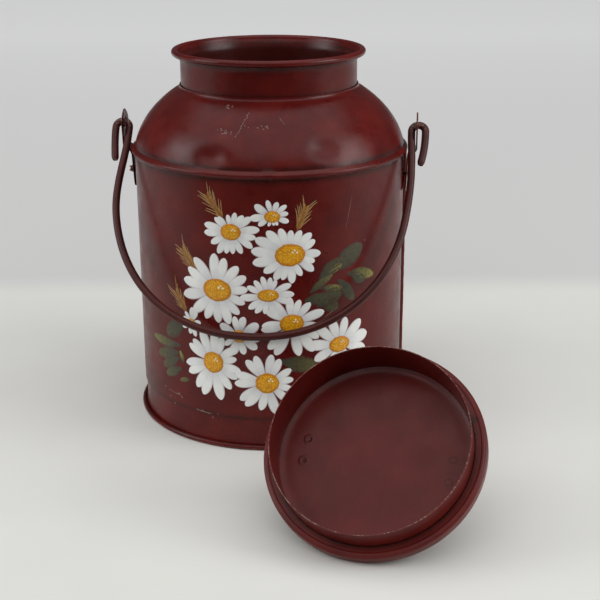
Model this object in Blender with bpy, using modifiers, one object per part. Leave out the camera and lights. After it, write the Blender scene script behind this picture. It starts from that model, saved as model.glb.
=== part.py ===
"""Tinplate milk can with a wire bail and a lift-off plug lid, as separate soldered and riveted pieces.

Metres, +Z up. The origin is the centre of the underside of the raised base disc. +Z runs up the can's
axis, +X goes through the right-hand ear, and -Y is the front, where the bail hangs and the lid stands.
"""
import math

import bmesh
import bpy
from mathutils import Matrix, Vector

# ---- driving dimensions --------------------------------------------------------------------------
# Heights are over the standing plane.
ROUND_STEPS = 40            # facets round the can and the lid
GAP = 0.0003                # working gap between pieces that touch
SHEET = 0.0007              # tinplate wall

BODY_RADIUS = 0.1000        # outside of the body cylinder
BODY_BOTTOM = 0.0237        # height of the body's lower edge
SEAM_HEIGHT = 0.2029        # height of the shoulder seam's crest
SEAM_PROUD = 0.0026         # how far the seam's crest stands out from the body
SEAM_HALF_HEIGHT = 0.0026

BASE_RECESS = 0.0170        # height of the base disc's underside
BASE_FLANGE = 0.0080        # depth of the base disc's turned-down edge
BASE_CORNER = 0.0025
FOOT_LAP = 0.0070           # how far the foot band reaches up inside the body
FOOT_BEND_HEIGHT = 0.0075   # the foot band starts to lean out below this
FOOT_FLARE = 0.0011         # how far it leans out just above its roll
FOOT_ROLL_RADIUS = 0.0019
FOOT_WIRE_RADIUS = 0.0008

NECK_RADIUS = 0.0646        # outside of the neck
NECK_LAP = 0.00265          # how far the neck reaches down inside the shoulder's lip
NECK_LENGTH = 0.0294        # neck's lower edge to the centre of its rim roll
RIM_FLARE = 0.0021
RIM_FLARE_HEIGHT = 0.0075
RIM_ROLL_RADIUS = 0.0024
RIM_WIRE_RADIUS = 0.0013
DOME_BELOW_SEAM = 0.0075    # seam's crest down to the dome ellipse's equator
DOME_HALF_HEIGHT = 0.0687
DOME_PROUD = 0.0009         # the dome ellipse's equator outside the body
LIP_HEIGHT = 0.0005         # shoulder's turned-up lip round the neck
LIP_FILLET = 0.0030

SIDE_SEAM_WIDTH = 0.0070
SIDE_SEAM_TO_EAR = 0.0013   # round the body, from the right ear's foot to the seam
SIDE_SEAM_PROUD = 0.0026

PIVOT_OVER_SEAM = 0.0158    # bail's hinge line over the shoulder seam's crest
EAR_THICKNESS = 0.0012
EAR_FOOT_LENGTH = 0.0240
EAR_FOOT_BELOW_SEAM = 0.0079
EAR_FOOT_STANDOFF = 0.0011  # foot's lower end to the body, where the rivet and its solder hold it
EAR_FOOT_LEAN = 0.0013      # the foot's upper end stands off by this much more
EAR_FOOT_CORNER = 0.0035
EAR_SHELF_RISE = 0.0042     # ear's shelf over the top of its foot
EAR_FOOT_HALF_WIDTH = 0.0095
EAR_LEAF_HALF_WIDTH = 0.0112
EAR_TOP_RISE = 0.0094       # ear's tip over the hinge line
EAR_HOLE_CLEARANCE = 0.0011

RIVET_UP_THE_FOOT = 0.0116  # rivet's centre over the foot's lower end
RIVET_HEAD_RADIUS = 0.0028
RIVET_HEAD_RISE = 0.0030
RIVET_SHANK_RADIUS = 0.0014
RIVET_TAIL_RISE = 0.0010
RIVET_CLEARANCE = 0.0003

BAIL_WIRE_RADIUS = 0.00275
BAIL_DROP = 0.1664          # hinge line to the middle of the bail, along the bail
BAIL_TO_EAR = 0.00065       # inner leg to the ear's leaf
BAIL_PAST_SEAM = 0.00005    # the leg's inner side is this far inside the seam crest's radius
BAIL_BELLY = 0.0018         # the hoop's widest point is outside its leg by this
BAIL_WIDEST_DROP = 0.0500
BAIL_HOOP_POWER = 2.17      # 2 is an ellipse, more is squarer
BAIL_HOOK_RADIUS = 0.0051
BAIL_HOOK_LENGTH = 0.0320
BAIL_HOOK_TUCK = 0.0028     # the hook's free end leans back towards the leg by this
BAIL_SWAY = 0.0027          # the hoop is bent over towards -X by this
BAIL_SWAY_START = 0.0160    # the bend lies between these distances below the hinge line
BAIL_SWAY_END = 0.0750
BAIL_REST_GAP = 0.0009      # bail to body where it rests

PLUG_CLEARANCE = 0.0004     # lid's plug inside the neck, on the radius
PLUG_WALL = 0.0006
PLUG_BELOW_FLANGE = 0.0184
LID_OVERHANG = 0.0067       # lid's skirt outside the neck
LID_SKIRT = 0.0100          # flange to the top of the lid
LID_TOP_CORNER = 0.0022
LID_FLANGE_CORNER = 0.0016
LID_CROWN_RISE = 0.0016
LID_CROWN_SLOPE = 0.0030
LID_SHELF = 0.0093          # crown's foot to the outside of the skirt

HANDLE_RISE = 0.0484        # top of the lid's strap handle over the lid
HANDLE_HALF_WIDTH = 0.0120
HANDLE_THICKNESS = 0.0013
HANDLE_POWER = 2.5          # 2 is an ellipse, more is squarer
HANDLE_FOOT = 0.0135        # length of each turned-out foot
HANDLE_FOOT_INSET = 0.0055  # end of the foot to the crown's edge
HANDLE_BEND = 0.0030

LID_STAND_OFF = 0.0638      # room between the can's body and the lid, with the lid taken as wide as the neck
LID_STAND_ANGLE = math.radians(21.71)  # where the lid stands, turned from -Y towards +X
LID_FACING = math.radians(13.4)       # which way its mouth faces, turned from -Y towards -X

# ---- sizes that follow ---------------------------------------------------------------------------
BODY_INNER = BODY_RADIUS - SHEET
FOOT_OUTER = BODY_INNER - GAP
FOOT_INNER = FOOT_OUTER - SHEET
NECK_INNER = NECK_RADIUS - SHEET
DOME_RADIUS = BODY_RADIUS + DOME_PROUD
DOME_EQUATOR_HEIGHT = SEAM_HEIGHT - DOME_BELOW_SEAM
PIVOT_HEIGHT = SEAM_HEIGHT + PIVOT_OVER_SEAM
PIVOT = PIVOT_HEIGHT - BASE_RECESS
EAR_FOOT_TOP = SEAM_HEIGHT - EAR_FOOT_BELOW_SEAM
EAR_FOOT_BOTTOM = EAR_FOOT_TOP - EAR_FOOT_LENGTH
EAR_SHELF_HEIGHT = EAR_FOOT_TOP + EAR_SHELF_RISE
EAR_INNER_FACE = BODY_RADIUS + EAR_FOOT_STANDOFF
SIDE_SEAM_ANGLE = (EAR_FOOT_HALF_WIDTH + SIDE_SEAM_TO_EAR + SIDE_SEAM_WIDTH / 2) / BODY_RADIUS
BAIL_LEG_REACH = BODY_RADIUS + SEAM_PROUD - BAIL_PAST_SEAM + BAIL_WIRE_RADIUS
EAR_REACH = BAIL_LEG_REACH + BAIL_WIRE_RADIUS + BAIL_TO_EAR + EAR_THICKNESS / 2
RIVET_HEIGHT = EAR_FOOT_BOTTOM + RIVET_UP_THE_FOOT
BAIL_HALF_SPAN = BAIL_LEG_REACH + BAIL_BELLY
BAIL_REST_ANGLE = math.asin((BODY_RADIUS + BAIL_WIRE_RADIUS + BAIL_REST_GAP) / BAIL_DROP)
PLUG_RADIUS = NECK_INNER - PLUG_CLEARANCE
LID_RADIUS = NECK_RADIUS + LID_OVERHANG
LID_TOP = PLUG_BELOW_FLANGE + LID_SKIRT
LID_CROWN_RADIUS = LID_RADIUS - LID_SHELF - LID_CROWN_SLOPE
HANDLE_HALF_SPAN = LID_CROWN_RADIUS - HANDLE_FOOT_INSET - HANDLE_FOOT
LID_STAND_DISTANCE = BODY_RADIUS + LID_STAND_OFF + NECK_RADIUS  # can's axis to the lid's mouth centre


def over_floor(height):
    """Row-frame z of a height over the standing plane."""
    return height - BASE_RECESS


# ---- scene ---------------------------------------------------------------------------------------
for old in list(bpy.data.objects):
    bpy.data.objects.remove(old, do_unlink=True)

can_parts = bpy.data.collections.new("milk_can")
cutters = bpy.data.collections.new("milk_can_cutters")
for group in (can_parts, cutters):
    bpy.context.scene.collection.children.link(group)


def material(name, colour, roughness, metallic):
    made = bpy.data.materials.new(name)
    made.use_nodes = True
    shader = made.node_tree.nodes["Principled BSDF"]
    shader.inputs["Base Color"].default_value = (*colour, 1)
    shader.inputs["Roughness"].default_value = roughness
    shader.inputs["Metallic"].default_value = metallic
    made.diffuse_color = (*colour, 1)
    return made


ENAMEL = material("burgundy_enamel", (0.125, 0.017, 0.015), 0.38, 0.0)
INSIDE_ENAMEL = material("burgundy_enamel_inside", (0.090, 0.014, 0.012), 0.45, 0.0)
BARE_STEEL = material("darkened_steel", (0.055, 0.052, 0.048), 0.50, 0.9)


def add_part(name, data, finish, parent=None):
    part = bpy.data.objects.new(name, data)
    part.data.materials.append(finish)
    can_parts.objects.link(part)
    part.parent = parent
    return part


def arc(centre, radius, start_deg, end_deg, steps):
    """Points of an arc in the (radius, z) plane; 0 degrees points outwards and 90 points up."""
    points = []
    for i in range(steps + 1):
        angle = math.radians(start_deg + (end_deg - start_deg) * i / steps)
        points.append((centre[0] + radius * math.cos(angle), centre[1] + radius * math.sin(angle)))
    return points


def sheet_loop(line, thickness):
    """Both faces of a sheet whose middle follows `line`, listed from its outer or upper start and back."""
    upper, lower = [], []
    for i, point in enumerate(line):
        before = Vector(line[max(i - 1, 0)])
        after = Vector(line[min(i + 1, len(line) - 1)])
        here = Vector(point)
        normals = []
        for run in (here - before, after - here):
            if run.length > 0:
                run.normalize()
                normals.append(Vector((-run.y, run.x)))
        normal = sum(normals, Vector((0, 0))).normalized()
        reach = thickness / 2 / normal.dot(normals[0])
        upper.append(here + normal * reach)
        lower.append(here - normal * reach)
    return [tuple(p) for p in upper] + [tuple(p) for p in reversed(lower)]


def turned(name, profile, finish, closed=True, parent=None):
    """A solid turned about Z from a profile in (radius, z) that runs down its outer side."""
    mesh = bpy.data.meshes.new(name)
    edges = [(i, i + 1) for i in range(len(profile) - 1)]
    if closed:
        edges.append((len(profile) - 1, 0))
    mesh.from_pydata([(r, 0, z) for r, z in profile], edges, [])
    part = add_part(name, mesh, finish, parent)
    screw = part.modifiers.new("turn", "SCREW")
    screw.axis = "Z"
    screw.steps = ROUND_STEPS
    screw.render_steps = ROUND_STEPS
    screw.use_merge_vertices = True
    screw.merge_threshold = 0.00001
    screw.use_smooth_shade = True
    return part


def ring_profile(radius, height, wire_radius, sides=6):
    """A closed wire ring's section, listed clockwise."""
    return arc((radius, height), wire_radius, 90, 90 - 360 * (sides - 1) / sides, sides - 1)


def add_cutter(name, radius, length, axis_x, height):
    """A cylinder cutter that lies along X."""
    bpy.ops.mesh.primitive_cylinder_add(vertices=20, radius=radius, depth=length)
    cutter = bpy.context.object
    cutter.name = name
    cutter.matrix_world = Matrix.Translation((axis_x, 0, height)) @ Matrix.Rotation(math.pi / 2, 4, "Y")
    for owner in list(cutter.users_collection):
        owner.objects.unlink(cutter)
    cutters.objects.link(cutter)
    cutter.hide_render = True
    cutter.display_type = "WIRE"
    return cutter


def cut(part, cutter):
    boolean = part.modifiers.new(cutter.name, "BOOLEAN")
    boolean.operation = "DIFFERENCE"
    boolean.solver = "EXACT"
    boolean.object = cutter


# ---- foot band, its wire and the raised base disc ------------------------------------------------
# The foot band laps inside the body's lower edge and is rolled outwards round a wire.
foot_middle = FOOT_OUTER - SHEET / 2
foot_roll_line = FOOT_ROLL_RADIUS - SHEET / 2
foot_roll_centre = (foot_middle + FOOT_FLARE + foot_roll_line, over_floor(FOOT_ROLL_RADIUS))
foot_line = [(foot_middle, over_floor(BODY_BOTTOM + FOOT_LAP)), (foot_middle, over_floor(FOOT_BEND_HEIGHT))]
foot_line += arc(foot_roll_centre, foot_roll_line, 180, 180 + 285, 7)
turned("foot_band", sheet_loop(foot_line, SHEET), ENAMEL)
turned("foot_wire", ring_profile(*foot_roll_centre, FOOT_WIRE_RADIUS), BARE_STEEL)

base_edge = FOOT_INNER - GAP - SHEET / 2
base_middle = SHEET / 2
base_line = [(0, base_middle), (base_edge - BASE_CORNER, base_middle)]
base_line += arc((base_edge - BASE_CORNER, base_middle - BASE_CORNER), BASE_CORNER, 60, 0, 2)
base_line += [(base_edge, base_middle - BASE_FLANGE)]
turned("base_disc", sheet_loop(base_line, SHEET), INSIDE_ENAMEL, closed=False)

# ---- body cylinder and its locked side seam ------------------------------------------------------
# The body's top edge ends inside the shoulder's seam bead.
body_top = over_floor(SEAM_HEIGHT + SEAM_HALF_HEIGHT / 4)
body_bottom = over_floor(BODY_BOTTOM)
body_middle = BODY_RADIUS - SHEET / 2
body_shell = turned(
    "body_shell",
    sheet_loop([(body_middle, body_top), (body_middle, body_bottom)], SHEET),
    ENAMEL,
)

seam_bottom = body_bottom + 0.0008
seam_top = over_floor(SEAM_HEIGHT - SEAM_HALF_HEIGHT) - 2 * GAP
seam_inner = BODY_RADIUS + GAP
bpy.ops.mesh.primitive_cube_add(size=1)
side_seam = bpy.context.object
side_seam.name = "side_seam"
side_seam.data.name = "side_seam"
side_seam.data.transform(
    Matrix.Translation((seam_inner + SIDE_SEAM_PROUD / 2, 0, (seam_top + seam_bottom) / 2))
    @ Matrix.Diagonal((SIDE_SEAM_PROUD, SIDE_SEAM_WIDTH, seam_top - seam_bottom, 1))
)
side_seam.rotation_euler.z = SIDE_SEAM_ANGLE
for owner in list(side_seam.users_collection):
    owner.objects.unlink(side_seam)
can_parts.objects.link(side_seam)
side_seam.data.materials.append(ENAMEL)
seam_bevel = side_seam.modifiers.new("rolled_edges", "BEVEL")
seam_bevel.width = SIDE_SEAM_PROUD * 0.3
seam_bevel.segments = 2


# ---- domed shoulder ------------------------------------------------------------------------------
def dome_radius(height):
    """Outside radius of the dome at a height over the standing plane."""
    rise = (height - DOME_EQUATOR_HEIGHT) / DOME_HALF_HEIGHT
    return DOME_RADIUS * math.sqrt(1 - rise * rise)


def dome_height(radius):
    """Height over the standing plane at which the dome has this outside radius."""
    return DOME_EQUATOR_HEIGHT + DOME_HALF_HEIGHT * math.sqrt(1 - (radius / DOME_RADIUS) ** 2)


lip_middle = NECK_RADIUS + GAP + SHEET / 2
lip_foot = lip_middle + LIP_FILLET
lip_base_height = dome_height(lip_foot) - SHEET / 2
neck_foot_height = lip_base_height - NECK_LAP
rim_height = neck_foot_height + NECK_LENGTH
shoulder_line = [(lip_middle, lip_base_height + LIP_FILLET + LIP_HEIGHT)]
shoulder_line += arc((lip_foot, lip_base_height + LIP_FILLET), LIP_FILLET, 180, 240, 2)
dome_start = math.acos((lip_foot + 0.002) / DOME_RADIUS)
dome_end = math.asin((SEAM_HEIGHT + SEAM_HALF_HEIGHT - DOME_EQUATOR_HEIGHT) / DOME_HALF_HEIGHT)
dome_points = 7
for i in range(dome_points):
    turn = dome_start + (dome_end - dome_start) * i / (dome_points - 1)
    shoulder_line.append(
        (
            (DOME_RADIUS - SHEET / 2) * math.cos(turn),
            DOME_EQUATOR_HEIGHT + (DOME_HALF_HEIGHT - SHEET / 2) * math.sin(turn),
        )
    )
seam_crest = BODY_RADIUS + SEAM_PROUD - SHEET / 2
skirt_middle = BODY_RADIUS + GAP + SHEET / 2
shoulder_line += [
    (seam_crest - 0.0006, SEAM_HEIGHT + SEAM_HALF_HEIGHT * 0.5),
    (seam_crest, SEAM_HEIGHT),
    (seam_crest - 0.0004, SEAM_HEIGHT - SEAM_HALF_HEIGHT * 0.45),
    (skirt_middle, SEAM_HEIGHT - SEAM_HALF_HEIGHT),
]
shoulder_line = [(r, over_floor(height)) for r, height in shoulder_line]
turned("shoulder_dome", sheet_loop(shoulder_line, SHEET), ENAMEL)

# ---- neck with its wired rim ---------------------------------------------------------------------
neck_middle = NECK_RADIUS - SHEET / 2
rim_line_radius = RIM_ROLL_RADIUS - SHEET / 2
rim_centre = (neck_middle + RIM_FLARE + rim_line_radius, over_floor(rim_height))
rim_line = arc(rim_centre, rim_line_radius, -105, 180, 7)
rim_line += [
    (neck_middle, over_floor(rim_height - RIM_FLARE_HEIGHT)),
    (neck_middle, over_floor(neck_foot_height)),
]
turned("neck_collar", sheet_loop(rim_line, SHEET), ENAMEL)
turned("rim_wire", ring_profile(*rim_centre, RIM_WIRE_RADIUS), BARE_STEEL)


# ---- ears ----------------------------------------------------------------------------------------
def strap(name, stations, thickness, finish, parent=None):
    """A bent strap: each station is the middle point (x, z) and the half width along Y there."""
    mesh = bpy.data.meshes.new(name)
    shape = bmesh.new()
    rows = []
    for (x, z), half_width in stations:
        rows.append([shape.verts.new((x, side * half_width, z)) for side in (-1, -0.35, 0.35, 1)])
    for low, high in zip(rows, rows[1:]):
        for i in range(len(low) - 1):
            shape.faces.new((low[i], low[i + 1], high[i + 1], high[i]))
    bmesh.ops.recalc_face_normals(shape, faces=shape.faces)
    shape.to_mesh(mesh)
    shape.free()
    part = add_part(name, mesh, finish, parent)
    solid = part.modifiers.new("sheet", "SOLIDIFY")
    solid.thickness = thickness
    solid.offset = 0
    solid.use_even_offset = True
    return part


def ear_foot_middle(height):
    """Distance from the can's axis of the middle of the ear's foot, at a height."""
    way = (height - EAR_FOOT_BOTTOM) / (EAR_FOOT_TOP - EAR_FOOT_BOTTOM)
    return EAR_INNER_FACE + EAR_THICKNESS / 2 + EAR_FOOT_LEAN * way


def ear_stations():
    """The ear's middle line from the foot's lower end to the leaf's tip, with its half widths."""
    stations = []
    for part_way in (0.0, 0.15, 0.45, 1.0):
        corner_in = EAR_FOOT_CORNER * (1 - math.sqrt(1 - (1 - part_way) ** 2))
        half = EAR_FOOT_HALF_WIDTH - corner_in
        height = EAR_FOOT_BOTTOM + EAR_FOOT_CORNER * part_way
        stations.append(((ear_foot_middle(height), over_floor(height)), half))
    foot_top = ear_foot_middle(EAR_FOOT_TOP)
    shelf = over_floor(EAR_SHELF_HEIGHT)
    stations += [
        ((foot_top, over_floor(EAR_FOOT_TOP)), EAR_FOOT_HALF_WIDTH),
        ((foot_top + 0.0009, shelf - 0.0016), EAR_FOOT_HALF_WIDTH),
        ((foot_top + 0.0026, shelf), EAR_FOOT_HALF_WIDTH),
        ((EAR_REACH - 0.0014, shelf + 0.0012), EAR_FOOT_HALF_WIDTH),
        ((EAR_REACH, shelf + 0.0040), EAR_FOOT_HALF_WIDTH),
    ]
    leaf_middle = PIVOT - 0.0020
    stations.append(((EAR_REACH, leaf_middle - 0.0040), EAR_LEAF_HALF_WIDTH - 0.0006))
    top = PIVOT + EAR_TOP_RISE
    for part_way in (0.0, 0.35, 0.62, 0.82, 0.94, 1.0):
        half = EAR_LEAF_HALF_WIDTH * (1 - part_way**2.2) + 0.0016 * part_way
        stations.append(((EAR_REACH, leaf_middle + (top - leaf_middle) * part_way), half))
    return stations


hole_radius = BAIL_WIRE_RADIUS + EAR_HOLE_CLEARANCE
rivet_z = over_floor(RIVET_HEIGHT)
for side, turn in (("right", 0), ("left", math.pi)):
    direction = math.cos(turn)
    ear = strap(f"ear_{side}", ear_stations(), EAR_THICKNESS, ENAMEL)
    ear.rotation_euler.z = turn
    cut(ear, add_cutter(f"bail_hole_{side}", hole_radius, 0.008, direction * EAR_REACH, PIVOT))
    rivet_hole = add_cutter(
        f"rivet_hole_{side}",
        RIVET_SHANK_RADIUS + RIVET_CLEARANCE,
        0.008,
        direction * BODY_RADIUS,
        rivet_z,
    )
    cut(ear, rivet_hole)
    cut(body_shell, rivet_hole)

# ---- rivets --------------------------------------------------------------------------------------
# Round head outside the ear's foot, shank through both sheets, flattened head inside the body.
foot_slope = EAR_FOOT_LEAN / (EAR_FOOT_TOP - EAR_FOOT_BOTTOM)
head_seat = ear_foot_middle(RIVET_HEIGHT) + EAR_THICKNESS / 2 + foot_slope * RIVET_HEAD_RADIUS + GAP
tail_seat = BODY_INNER - GAP - 0.0004
rivet_profile = [(0, head_seat + RIVET_HEAD_RISE)]
rivet_profile += [
    (RIVET_HEAD_RADIUS * 0.55, head_seat + RIVET_HEAD_RISE * 0.88),
    (RIVET_HEAD_RADIUS * 0.92, head_seat + RIVET_HEAD_RISE * 0.50),
    (RIVET_HEAD_RADIUS, head_seat),
    (RIVET_SHANK_RADIUS, head_seat),
    (RIVET_SHANK_RADIUS, tail_seat),
    (RIVET_HEAD_RADIUS * 0.9, tail_seat),
    (RIVET_HEAD_RADIUS * 0.8, tail_seat - RIVET_TAIL_RISE),
    (0, tail_seat - RIVET_TAIL_RISE),
]
for side, turn in (("right", 0), ("left", math.pi)):
    rivet = turned(f"rivet_{side}", rivet_profile, ENAMEL, closed=False)
    rivet.modifiers["turn"].steps = 16
    rivet.modifiers["turn"].render_steps = 16
    rivet.matrix_world = (
        Matrix.Translation((0, 0, rivet_z))
        @ Matrix.Rotation(turn, 4, "Z")
        @ Matrix.Rotation(math.pi / 2, 4, "Y")
    )


# ---- bail ----------------------------------------------------------------------------------------
def half_bail():
    """The bail's right half in its own plane, as (sideways, down), from the hook's end to the middle."""
    hook_middle = BAIL_LEG_REACH + BAIL_HOOK_RADIUS
    points = []
    free_steps = 5
    for i in range(free_steps):
        back = 1 - i / free_steps
        down = BAIL_HOOK_RADIUS + (BAIL_HOOK_LENGTH - BAIL_HOOK_RADIUS) * back
        points.append((hook_middle + BAIL_HOOK_RADIUS - BAIL_HOOK_TUCK * back * back, down))
    for across, up in arc((hook_middle, 0), BAIL_HOOK_RADIUS, 0, 180, 8):
        points.append((across, BAIL_HOOK_RADIUS - up))
    leg_steps = 6
    for i in range(1, leg_steps + 1):
        way = i / leg_steps
        ease = (1 - math.cos(math.pi * way)) / 2
        points.append(
            (
                BAIL_LEG_REACH + (BAIL_HALF_SPAN - BAIL_LEG_REACH) * ease,
                BAIL_HOOK_RADIUS + (BAIL_WIDEST_DROP - BAIL_HOOK_RADIUS) * way,
            )
        )
    hoop_steps = 16
    for i in range(1, hoop_steps + 1):
        turn = math.pi / 2 * i / hoop_steps
        points.append(
            (
                BAIL_HALF_SPAN * max(math.cos(turn), 0) ** (2 / BAIL_HOOP_POWER),
                BAIL_WIDEST_DROP
                + (BAIL_DROP - BAIL_WIDEST_DROP) * math.sin(turn) ** (2 / BAIL_HOOP_POWER),
            )
        )
    points[-1] = (0, BAIL_DROP)
    return points


def bail_sway(down):
    """Sideways shift of the bail below the hinge line: none beside the ears, all of it in the hoop."""
    way = min(max((down - BAIL_SWAY_START) / (BAIL_SWAY_END - BAIL_SWAY_START), 0), 1)
    return -BAIL_SWAY * way * way * (3 - 2 * way)


right_half = half_bail()
bail_route = right_half + [(-across, down) for across, down in reversed(right_half[:-1])]
bail_curve = bpy.data.curves.new("bail", "CURVE")
bail_curve.dimensions = "3D"
bail_curve.bevel_depth = BAIL_WIRE_RADIUS
bail_curve.bevel_resolution = 2
bail_curve.use_fill_caps = True
wire = bail_curve.splines.new("POLY")
wire.points.add(len(bail_route) - 1)
for point, (across, down) in zip(wire.points, bail_route):
    point.co = (across + bail_sway(down), 0, -down, 1)
bail = add_part("bail", bail_curve, ENAMEL)
bail.location.z = PIVOT
bail.rotation_euler.x = -BAIL_REST_ANGLE

# ---- lid -----------------------------------------------------------------------------------------
# The lid's own frame has its z along the plug, 0 at the plug's open edge, rising to the lid's top.
# Off the can it stands tipped, on its skirt's edge and on its handle, with its mouth to the front.
# The standing plane touches the skirt's round top corner and the handle's lower edge.
handle_top = LID_TOP + LID_CROWN_RISE + GAP + HANDLE_RISE
corner_across = LID_RADIUS - LID_TOP_CORNER - HANDLE_HALF_WIDTH
corner_below = handle_top - (LID_TOP - LID_TOP_CORNER)
lid_tip = math.atan2(corner_across, corner_below)
lid_tip += math.asin(LID_TOP_CORNER / math.hypot(corner_across, corner_below))
mouth_height = HANDLE_HALF_WIDTH * math.cos(lid_tip) + handle_top * math.sin(lid_tip)

lid_pose = bpy.data.objects.new("lid_pose", None)
can_parts.objects.link(lid_pose)
lid_pose.matrix_world = (
    Matrix.Translation(
        (
            LID_STAND_DISTANCE * math.sin(LID_STAND_ANGLE),
            -LID_STAND_DISTANCE * math.cos(LID_STAND_ANGLE),
            over_floor(mouth_height),
        )
    )
    @ Matrix.Rotation(-LID_FACING, 4, "Z")
    @ Matrix.Rotation(-math.pi / 2 - lid_tip, 4, "X")
)
bpy.context.view_layer.update()

plug_middle = PLUG_RADIUS - PLUG_WALL / 2
plug_top = LID_TOP - SHEET - GAP
plug_line = [(plug_middle, plug_top), (plug_middle, 0.0003)]
turned("lid_plug", sheet_loop(plug_line, PLUG_WALL), ENAMEL, parent=lid_pose)

skirt_line_radius = LID_RADIUS - SHEET / 2
crown_foot = LID_CROWN_RADIUS + LID_CROWN_SLOPE
lid_line = [
    (0, LID_TOP + LID_CROWN_RISE - SHEET / 2),
    (LID_CROWN_RADIUS, LID_TOP + LID_CROWN_RISE - SHEET / 2),
    (crown_foot, LID_TOP - SHEET / 2),
]
lid_line += arc(
    (skirt_line_radius - LID_TOP_CORNER, LID_TOP - SHEET / 2 - LID_TOP_CORNER),
    LID_TOP_CORNER,
    90,
    0,
    3,
)
lid_line += arc(
    (skirt_line_radius - LID_FLANGE_CORNER, PLUG_BELOW_FLANGE + SHEET / 2 + LID_FLANGE_CORNER),
    LID_FLANGE_CORNER,
    0,
    -90,
    2,
)
lid_line.append((PLUG_RADIUS + GAP, PLUG_BELOW_FLANGE + SHEET / 2))
turned("lid_cover", sheet_loop(lid_line, SHEET), ENAMEL, closed=False, parent=lid_pose)


def handle_stations():
    """The strap handle's middle line from foot to foot, with its half widths."""
    seat = LID_TOP + LID_CROWN_RISE + GAP + HANDLE_THICKNESS / 2
    rise = HANDLE_RISE - HANDLE_THICKNESS
    end = HANDLE_HALF_SPAN + HANDLE_FOOT
    half = [
        ((end, seat), HANDLE_HALF_WIDTH * 0.45),
        ((end - 0.0020, seat), HANDLE_HALF_WIDTH * 0.82),
        ((end - 0.0050, seat), HANDLE_HALF_WIDTH),
        ((HANDLE_HALF_SPAN + HANDLE_BEND, seat), HANDLE_HALF_WIDTH),
        ((HANDLE_HALF_SPAN + HANDLE_BEND * 0.3, seat + HANDLE_BEND * 0.3), HANDLE_HALF_WIDTH),
        ((HANDLE_HALF_SPAN, seat + HANDLE_BEND), HANDLE_HALF_WIDTH),
    ]
    arch_steps = 7
    for i in range(1, arch_steps + 1):
        turn = math.pi / 2 * i / arch_steps
        across = HANDLE_HALF_SPAN * max(math.cos(turn), 0) ** (2 / HANDLE_POWER)
        up = HANDLE_BEND + (rise - HANDLE_BEND) * math.sin(turn) ** (2 / HANDLE_POWER)
        half.append(((across, seat + up), HANDLE_HALF_WIDTH))
    half[-1] = ((0, seat + rise), HANDLE_HALF_WIDTH)
    return half + [((-x, z), width) for (x, z), width in reversed(half[:-1])]


strap("lid_handle", handle_stations(), HANDLE_THICKNESS, ENAMEL, parent=lid_pose)
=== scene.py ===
"""Looks of a hand-painted tinplate milk can with a wire bail and a lift-off lid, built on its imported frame.

Metres, +Z up. The origin is the centre of the underside of the can's base disc, +X goes through the
right-hand ear and -Y is the front, where the bail hangs, the flowers are painted and the lid stands.
"""
import math
import random

import bmesh
import bpy
from mathutils import Matrix, Quaternion, Vector, noise


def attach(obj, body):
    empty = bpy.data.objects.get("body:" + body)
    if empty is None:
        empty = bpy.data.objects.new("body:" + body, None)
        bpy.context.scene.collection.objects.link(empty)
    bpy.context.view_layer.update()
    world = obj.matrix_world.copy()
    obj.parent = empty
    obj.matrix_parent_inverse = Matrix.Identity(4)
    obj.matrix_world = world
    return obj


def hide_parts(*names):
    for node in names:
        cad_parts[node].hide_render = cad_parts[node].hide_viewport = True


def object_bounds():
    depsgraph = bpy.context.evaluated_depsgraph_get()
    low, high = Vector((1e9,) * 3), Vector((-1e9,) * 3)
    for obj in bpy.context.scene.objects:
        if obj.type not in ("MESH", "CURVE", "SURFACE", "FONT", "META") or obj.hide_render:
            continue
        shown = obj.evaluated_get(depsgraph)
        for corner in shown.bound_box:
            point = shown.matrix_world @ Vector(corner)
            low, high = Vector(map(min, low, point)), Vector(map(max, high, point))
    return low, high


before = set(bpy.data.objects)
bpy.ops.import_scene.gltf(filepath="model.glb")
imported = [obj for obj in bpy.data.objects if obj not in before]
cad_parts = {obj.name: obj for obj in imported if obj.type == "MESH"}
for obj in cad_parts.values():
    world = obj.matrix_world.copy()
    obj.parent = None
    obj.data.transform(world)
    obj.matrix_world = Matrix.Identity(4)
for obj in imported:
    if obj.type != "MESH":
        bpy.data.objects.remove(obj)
cad_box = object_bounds()

# ---- camera --------------------------------------------------------------------------------------
# A short telephoto lens a little above the can's rim, looking down on it from the front and slightly
# from the right, with the lid in front of the can.
camera = bpy.data.objects.new("camera", bpy.data.cameras.new("camera"))
bpy.context.scene.collection.objects.link(camera)
camera.data.lens = 73.8
camera.location = (0.1084, -0.8990, 0.3820)
camera_aim = Vector((0.0222, 0, 0.0631))
camera_tilt = Quaternion((0, 0, 1), -0.0043)
camera.rotation_mode = "QUATERNION"
camera.rotation_quaternion = (camera_aim - camera.location).to_track_quat("-Z", "Y") @ camera_tilt
bpy.context.scene.camera = camera
bpy.context.scene.view_settings.view_transform = "Standard"


# ---- table and light -----------------------------------------------------------------------------
# A sheet of pale matt paper, lit from above and by a broad soft light at each side. Past the sheet's
# front edge, in front of the can, the floor is painted dark grey: painted shade for the enamel to mirror.
# Behind the can the paper is painted greyer, as painted shade standing in for a backdrop wall, and it
# is painted brighter with distance, as painted light making up for the lamps' falloff.
def srgb(code):
    """Linear RGBA of an sRGB hex colour."""
    parts = [int(code[i : i + 2], 16) / 255 for i in (1, 3, 5)]
    return (*[c / 12.92 if c <= 0.04045 else ((c + 0.055) / 1.055) ** 2.4 for c in parts], 1)


def add_node(finish, kind, inputs=None, **settings):
    """Adds a shader node; `inputs` maps an input's name or number to its value or to what feeds it."""
    made = finish.node_tree.nodes.new("ShaderNode" + kind)
    for name, value in settings.items():
        setattr(made, name, value)
    for name, value in (inputs or {}).items():
        if isinstance(value, bpy.types.NodeSocket):
            finish.node_tree.links.new(value, made.inputs[name])
        else:
            made.inputs[name].default_value = value
    return made


def per_mm(size):
    """Noise scale at which one patch is `size` millimetres across."""
    return 1000 / size


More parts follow.
